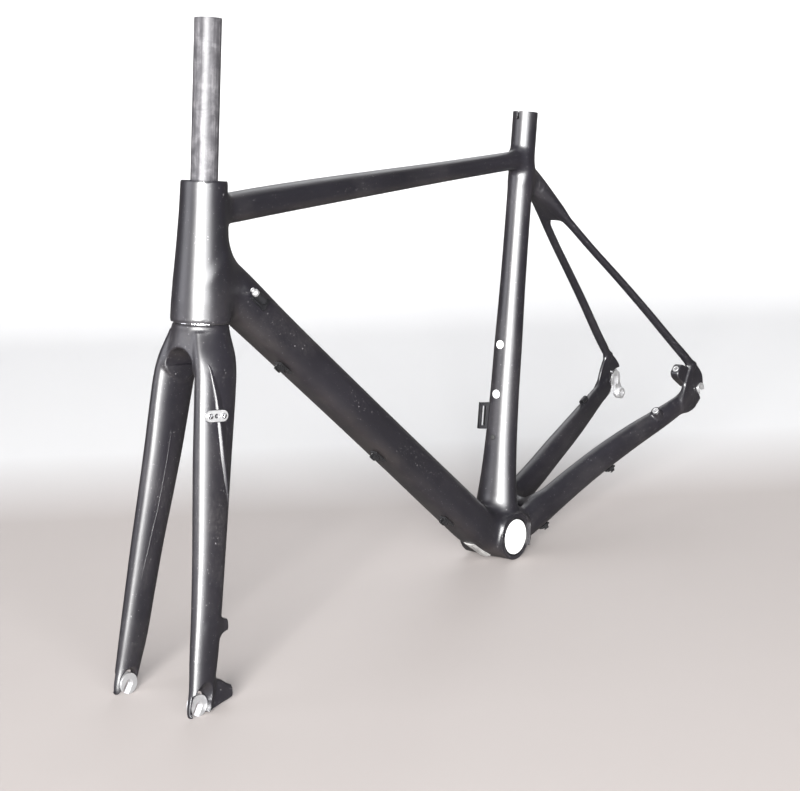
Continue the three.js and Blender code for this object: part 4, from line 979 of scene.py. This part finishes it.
# ---------------------------------------------------------------- steerer and bottom bracket
piece(lathe("steerer_tube", [(11.8, -14), (17, -14), (17, 0.3), (19.7, 0.3), (19.7, 9.5), (17.4, 30), (14.3, 62), (14.3, 313.2), (13.9, 313.6), (12.1, 313.6), (11.8, 313.3)],
            CROWN, S, 96), "fork", "raw_carbon", "steerer")
piece(lathe("bottom_bracket_liner", [(23, 0.3), (23.3, 0), (25.2, 0), (25.4, 0.2), (25.4, 68.2), (25.2, 68.4), (23.3, 68.4), (23, 68.1)], (0, -34.2, 0), SIDE, 96),
      "frame", "black_aluminium", "bottom_bracket_sleeve")
for s, side in ((1, "left"), (-1, "right")):
    cap = lathe("bottom_bracket_cover_" + side, [(0, 31.8), (19.6, 31.8), (19.6, 26.5), (22.7, 26.5), (22.7, 34.4), (22.5, 34.9), (22.0, 35.35), (21.2, 35.5), (0, 35.5)], (0, 0, 0), SIDE * s, 96)
    a = math.radians(18)
    combine(cap, [block("tool", (2, 3, 7.5), (6, 35.5 * s, 9), (math.cos(a), 0, -math.sin(a)), SIDE, (math.sin(a), 0, math.cos(a)))])
    piece(cap, "frame", "white_plastic", "bottom_bracket_cap_" + side)

# ---------------------------------------------------------------- axle seats and hanger
x, z = FORK_AXLE[0], FORK_AXLE[2]
for s, side in ((1, "left"), (-1, "right")):
    lo, hi = sorted((50 * s, 57 * s))
    tip = prism("fork_tip_face_" + side, disc_pts(x, z, 11.7, 96), lo, hi, in_fork)
    w0, w1 = sorted((30 * s, 80 * s))
    combine(tip, [prism("tool", slot_pts(x, z, 9.4, FRONT_SLOT, 40), w0, w1, in_fork)])
    piece(tip, "fork", "bare_aluminium", "fork_tip_" + side)
x, z = AXLE[0], AXLE[2]
seat = prism("axle_face_left", disc_pts(x, z, 8.2, 96), 67.2, 76)
combine(seat, [prism("tool", slot_pts(x, z, 10.4, REAR_SLOT, 40), 60, 84)])
piece(seat, "frame", "bare_aluminium", "axle_seat_left")
HANGER = [(-383.2, 118), (-386, 125.5), (-391, 133), (-396, 137.8), (-405, 137.4), (-414.5, 131.5), (-418.5, 122), (-422.5, 108), (-430, 97), (-427, 88.5), (-418, 86.4), (-411.5, 90),
          (-405.5, 99), (-398, 106.5), (-390, 110.5)]
hanger = prism("hanger_plate", round_poly(HANGER), -75.6, -71.7)
combine(hanger, [prism("tool", disc_pts(x, z, 11.2, 96), -75.6, -67.6), rod("tool", 8.2, (-419.6, -76, 94.6), (-419.6, -67.5, 94.6), 80)], "UNION")
tools = [rod("tool", 4.4, (-419.6, -84, 94.6), (-419.6, -60, 94.6), 64), prism("tool", slot_pts(x, z, 10.4, RIGHT_SLOT, 40), -84, -60)]
tools += [rod("tool", 1.9, (sx, -84, sz), (sx, -60, sz), 32) for sx, sz in HANGER_SCREWS]
combine(hanger, tools)
piece(hanger, "frame", "bare_aluminium", "derailleur_hanger")
for i, (sx, sz) in enumerate(HANGER_SCREWS, 1):
    s = lathe("hanger_bolt_%d" % i, [(0, 0), (1.6, 0), (1.6, 5.2), (3.7, 5.2), (3.7, 7.2), (3.5, 7.6), (3.0, 7.9), (0, 7.9)], (sx, -74.6, sz), SIDE, 48)
    combine(s, [rod("tool", 1.6, (sx, -68.3, sz), (sx, -60, sz), 6)])
    piece(s, "frame", "bright_steel", "hanger_screw_%d" % i)

# ---------------------------------------------------------------- brake posts, bosses, hose plate


def insert(name, at, n, body, node, place=metres):
    at, n = np.asarray(at, float), np.asarray(n, float)
    o = lathe(name, [(0, 0), (4.6, 0), (4.6, 9.4), (4.45, 9.8), (4.1, 10), (0, 10)], at + n * (0.4 - 10), n, 64, place)
    cut = lathe("tool", [(0, 0), (2.6, 0), (2.6, 9.5), (3.1, 10.1), (3.1, 12), (0, 12)], at + n * (1.4 - 10 - 0.5), n, 48, place)
    combine(o, [cut])
    return piece(o, body, "bare_aluminium", node)


insert("rear_post_bush_upper", POST_UP, POST_N, "frame", "rear_post_insert_upper")
insert("rear_post_bush_lower", POST_LOW, POST_N, "frame", "rear_post_insert_lower")
insert("front_post_bush_upper", FRONT_POSTS[0], FRONT_N, "fork", "front_post_insert_upper", in_fork)
insert("front_post_bush_lower", FRONT_POSTS[1], FRONT_N, "fork", "front_post_insert_lower", in_fork)


def cap_on(name, at, n, node):
    o = lathe(name, [(0, -5), (2.0, -5), (2.2, -4.6), (2.2, 0.3), (5.4, 0.3), (5.6, 0.5), (5.55, 1.0), (5.0, 1.55), (3.6, 1.95), (1.8, 2.1), (0, 2.15)], at, n, 64)
    return piece(o, "frame", "white_plastic", node, angle=50)


def boss(name, at, n, node):
    o = lathe(name, [(2.5, 0), (4.2, 0), (4.2, 8.6), (4.0, 8.8), (2.7, 8.8), (2.5, 8.6)], np.asarray(at) - np.asarray(n) * 8.8, n, 64)
    return piece(o, "frame", "bare_aluminium", node)


for i, (t, f) in enumerate(((182.7, 18.0), (246.7, 17.5)), 1):
    cap_on("seat_cap_%d" % i, on_seat(t, f), TF, "seat_boss_cap_%d" % i)
    boss("seat_boss_%d" % i, on_seat(t, f), TF, "seat_bottle_boss_%d" % i)
for i, s in enumerate((236, 300), 1):
    cap_on("down_cap_%d" % i, on_down(s, 23.6), DN, "down_boss_cap_%d" % i)
    boss("down_boss_%d" % i, on_down(s, 23.6), DN, "down_bottle_boss_%d" % i)
piece(lathe("cable_port_plug", [(0, -4.5), (2.3, -4.5), (2.3, 0.25), (3.4, 0.25), (3.4, 0.6), (3.0, 1.2), (1.8, 1.55), (0, 1.6)], on_seat(126.5, 18.9), TF, 48),
      "frame", "black_rubber", "seat_tube_plug", angle=50)

plate = on_plate("hose_cover", obround(12, 27), -1.2, 0.8)
tools = [rod("tool", 2.6, PLATE_C - PLATE_N * 4, PLATE_C + PLATE_N * 4, 48, in_fork)]
for a in (-8, 8):
    c = PLATE_C + PLATE_T * a
    tools.append(rod("tool", 1.9, c - PLATE_N * 4, c + PLATE_N * 4, 40, in_fork))
combine(plate, tools)
piece(plate, "fork", "bare_aluminium", "hose_plate")
for i, a in enumerate((-8, 8), 1):
    c = PLATE_C + PLATE_T * a
    o = lathe("hose_cover_screw_%d" % i, [(0, -7.6), (1.55, -7.6), (1.55, 1.1), (3.0, 1.1), (3.05, 1.5), (2.7, 2.2), (1.6, 2.5), (0, 2.6)], c, PLATE_N, 48, in_fork)
    combine(o, [block("tool", (4.4, 0.8, 1.8), c + PLATE_N * 2.4, PLATE_T * math.cos(0.5 + a) + np.array([0, 0, 1.0]) * math.sin(0.5 + a), -PLATE_T * math.sin(0.5 + a) + np.array([0, 0, 1.0]) * math.cos(0.5 + a), PLATE_N, in_fork)])
    piece(o, "fork", "bright_steel", "hose_plate_screw_%d" % i, angle=45)



# ---------------------------------------------------------------- moulding lines of the fork legs
def bead(name, pts, radii, sink, side):
    """A slim raised line that follows the fork's surface through fork-local points, mostly sunk in it."""
    pts = np.asarray(pts, float) * np.array([1, side, 1])
    t = np.arange(len(pts))
    fine = np.linspace(0, len(pts) - 1, 60)
    rows = np.stack([np.interp(fine, t, pts[:, k]) for k in range(3)], 1)
    for _ in range(4):
        rows[1:-1] = (rows[:-2] + 2 * rows[1:-1] + rows[2:]) / 4
    r = np.interp(fine, t, radii)
    world = fork_world(rows)
    for _ in range(3):
        d, g = value_and_slope(fork_field, world)
        world = world - g * d[:, None]
    d, g = value_and_slope(fork_field, world)
    along = np.gradient(world, axis=0)
    along /= np.linalg.norm(along, axis=1)[:, None]
    flat = np.cross(along, g)
    seg = 12
    verts = []
    for c, n_, f, rr in zip(world, g, flat, r):
        for k in range(seg):
            w = 2 * math.pi * k / seg
            verts.append(c - n_ * rr * sink + (n_ * math.cos(w) + f * math.sin(w)) * rr)
    m = len(world)
    faces = [(i * seg + k, i * seg + (k + 1) % seg, (i + 1) * seg + (k + 1) % seg, (i + 1) * seg + k) for i in range(m - 1) for k in range(seg)]
    faces += [tuple(range(seg))[::-1], tuple((m - 1) * seg + k for k in range(seg))]
    if side < 0:
        faces = [f[::-1] for f in faces]
    return make(name, np.array(verts), faces)


CREASE = [(24.6, 35.0, -37), (23.8, 37.9, -42), (22.8, 42.0, -59.1), (20.6, 44.7, -76.5), (18.0, 47.5, -105.5), (15.3, 50.3, -136.7), (11.3, 52.2, -160.0), (6.9, 53.1, -177), (3, 54, -190)]
RISE = [0.05, 0.5, 1.2, 1.8, 2.2, 2.3, 2.0, 1.3, 0.1]
SEAM_LINE = [(18.0, 22.0, -114.2), (20.5, 24.5, -145.3), (26.0, 29.4, -193.3), (31.3, 33.5, -223.9), (35.8, 36.5, -250.8), (40, 40.0, -275)]


def crease(name, side):
    """A raised step down the outside of a leg: a narrow face towards the front, then a long run back to the surface."""
    pts = np.asarray(CREASE, float) * np.array([1, side, 1])
    t = np.arange(len(pts))
    fine = np.linspace(0, len(pts) - 1, 90)
    rows = np.stack([np.interp(fine, t, pts[:, k]) for k in range(3)], 1)
    rise = np.interp(fine, t, RISE)
    for _ in range(8):
        rows[1:-1] = (rows[:-2] + 2 * rows[1:-1] + rows[2:]) / 4
        rise[1:-1] = (rise[:-2] + 2 * rise[1:-1] + rise[2:]) / 4
    mid = fork_world(rows)
    for _ in range(3):
        d, g = value_and_slope(fork_field, mid)
        mid = mid - g * d[:, None]
    along = np.gradient(mid, axis=0)
    along /= np.linalg.norm(along, axis=1)[:, None]
    back = np.cross(along, g)
    back *= np.sign(-(back @ SX))[:, None]
    # section: distance back from the front foot as a share of the rise, height as a share of the rise
    shape = [(-0.5, -0.9), (0.0, -0.06), (0.45, 0.42), (0.85, 0.82), (1.1, 0.97), (1.45, 1.0), (2.2, 0.84), (3.4, 0.50), (4.8, 0.16), (6.2, -0.25), (6.2, -0.9)]
    verts = []
    for w, h in shape:
        p = mid + back * (w * rise)[:, None]
        for _ in range(2):
            d, g = value_and_slope(fork_field, p)
            p = p - g * d[:, None]
        verts.append(p + g * (h * rise - 0.03)[:, None])
    verts = np.stack(verts, 1)
    m, k = verts.shape[:2]
    faces = [(i * k + j, i * k + (j + 1) % k, (i + 1) * k + (j + 1) % k, (i + 1) * k + j) for i in range(m - 1) for j in range(k)]
    faces += [tuple(range(k)), tuple((m - 1) * k + j for j in range(k))]
    return make(name, verts.reshape(-1, 3), faces)


for s, side in ((1, "left"), (-1, "right")):
    step = crease("fork_crease_" + side, s)
    if s > 0:
        combine(step, [on_plate("tool", obround(13.0, 28.0), -4, 9)])
    piece(step, "fork", "satin_carbon", angle=50)
    piece(bead("fork_seam_" + side, SEAM_LINE, [0.2, 0.45, 0.5, 0.5, 0.45, 0.2], 0.55, s), "fork", "satin_carbon", angle=60)
# ---------------------------------------------------------------- floor, light, camera
def plain(name, color, wall, rough):
    """Pale matt sheet, whiter where it rises behind the object; mirror rays see it darker, as a room's unlit side would be."""
    n = Nodes(name)
    v = n.noise(3.0, 3, 0.5)
    col = n.ramp(v, [(0.3, tuple(c * 0.985 for c in color)), (0.7, color)])
    at = n.add("ShaderNodeSeparateXYZ")
    n.link(n.coord, at.inputs[0])
    ahead = n.math("SUBTRACT", n.math("MULTIPLY", at.outputs["X"], -0.768), n.math("MULTIPLY", at.outputs["Y"], 0.640))
    far = n.math("MULTIPLY", n.math("SUBTRACT", ahead, 0.30), 2.6, clamp=True)
    col = n.mix(far, col, wall)
    path = n.add("ShaderNodeLightPath").outputs["Is Glossy Ray"]
    col = n.mix(path, col, tuple(c * 0.22 for c in color))
    return n.sockets(Base_Color=col, Roughness=rough, Specular_IOR_Level=0.25)


# a pale sheet: floor that sweeps up into a backdrop behind the object
def sweep():
    ahead = Vector((-0.768, -0.640, 0)).normalized()   # the way the camera looks
    across = Vector((-ahead.y, ahead.x, 0))
    prof = [(-9.0, 0.0), (-3.0, 0.0), (1.6, 0.0)]
    r = 1.6
    for k in range(1, 25):
        a = math.pi / 2 * k / 24
        prof.append((1.6 + r * math.sin(a), r * (1 - math.cos(a))))
    prof.append((1.6 + r, 9.0))
    verts, faces = [], []
    for d, h in prof:
        for s in (-10.0, 10.0):
            p = ahead * d + across * s
            verts.append((p.x, p.y, h - 0.0002))
    for k in range(len(prof) - 1):
        faces.append((2 * k, 2 * k + 1, 2 * k + 3, 2 * k + 2))
    mesh = bpy.data.meshes.new("floor")
    mesh.from_pydata(verts, [], faces)
    o = bpy.data.objects.new("floor", mesh)
    COLLECTION.objects.link(o)
    mesh.polygons.foreach_set("use_smooth", np.ones(len(faces), bool))
    mesh.materials.append(plain("pale_floor", (0.375, 0.345, 0.334), (0.61, 0.61, 0.615), 0.55))


sweep()

EYE = metres((1758.342, 1312.747, 692.661))
R = Vector((-0.63209911, 0.7738616, -0.03986149))
U = Vector((-0.19829626, -0.1118133, 0.97374349))
D = Vector((-0.74908565, -0.62340678, -0.22413095))
cam_data = bpy.data.cameras.new("camera")
cam = bpy.data.objects.new("camera", cam_data)
COLLECTION.objects.link(cam)
cam_data.sensor_fit = "HORIZONTAL"
cam_data.sensor_width = 36.0
cam_data.lens = 1752.825 / 800 * 36.0
cam_data.clip_start, cam_data.clip_end = 0.05, 60
cam.matrix_world = Matrix(((R.x, U.x, -D.x, EYE[0]), (R.y, U.y, -D.y, EYE[1]), (R.z, U.z, -D.z, EYE[2]), (0, 0, 0, 1)))
bpy.context.scene.camera = cam

TARGET = Vector((0.05, 0.0, 0.33))


def area(name, az, el, dist, sx, sy, power, color=(1, 1, 1), aim=TARGET):
    """Soft light at an azimuth from +X towards +Y and a height above the floor, aimed at the object."""
    a, e = math.radians(az), math.radians(el)
    back = Vector((math.cos(a) * math.cos(e), math.sin(a) * math.cos(e), math.sin(e)))
    data = bpy.data.lights.new(name, "AREA")
    data.shape = "RECTANGLE"
    data.size, data.size_y = sx, sy
    data.energy = power
    data.color = color
    o = bpy.data.objects.new(name, data)
    COLLECTION.objects.link(o)
    o.location = aim + back * dist
    o.rotation_mode = "QUATERNION"
    o.rotation_quaternion = (-back).to_track_quat("-Z", "Y")
    o.visible_camera = False
    return o


area("key", 22, 36, 3.2, 0.8, 1.2, 12, (1.0, 0.99, 0.975))
area("streak", 32, 12, 6.0, 2.5, 2.3, 1230, (1.0, 0.995, 0.985), aim=Vector((0.1, 0.0, 0.35)))
area("spill", 58, 12, 6.0, 3.6, 2.3, 380, (0.985, 0.99, 1.0), aim=Vector((0.1, 0.0, 0.35)))
area("side_fill", -30, 16, 3.4, 1.8, 1.8, 34, (0.95, 0.95, 1.0))
area("top", 40, 82, 3.0, 1.6, 1.6, 9)
area("back", 215, 30, 3.2, 1.6, 1.2, 12, (0.95, 0.97, 1.0))
area("wall", 37, 50, 2.55, 3.2, 0.6, 25, (0.97, 0.985, 1.0), aim=Vector((-2.3, -1.93, 0.68)))

world = bpy.data.worlds.new("studio")
bpy.context.scene.world = world
world.use_nodes = True
wt = world.node_tree
wt.nodes.clear()
w_out = wt.nodes.new("ShaderNodeOutputWorld")
w_seen = wt.nodes.new("ShaderNodeBackground")
w_seen.inputs["Color"].default_value = (0.80, 0.81, 0.83, 1)
w_seen.inputs["Strength"].default_value = 1.0
w_dim = wt.nodes.new("ShaderNodeBackground")
w_dim.inputs["Color"].default_value = (0.90, 0.92, 1.0, 1)
w_dim.inputs["Strength"].default_value = 0.065
w_path = wt.nodes.new("ShaderNodeLightPath")
w_mix = wt.nodes.new("ShaderNodeMixShader")
wt.links.new(w_path.outputs["Is Camera Ray"], w_mix.inputs[0])
wt.links.new(w_dim.outputs[0], w_mix.inputs[1])
wt.links.new(w_seen.outputs[0], w_mix.inputs[2])
wt.links.new(w_mix.outputs[0], w_out.inputs["Surface"])
bpy.context.scene.view_settings.view_transform = "Standard"
bpy.context.scene.view_settings.look = "None"
bpy.context.scene.view_settings.exposure = 0.0
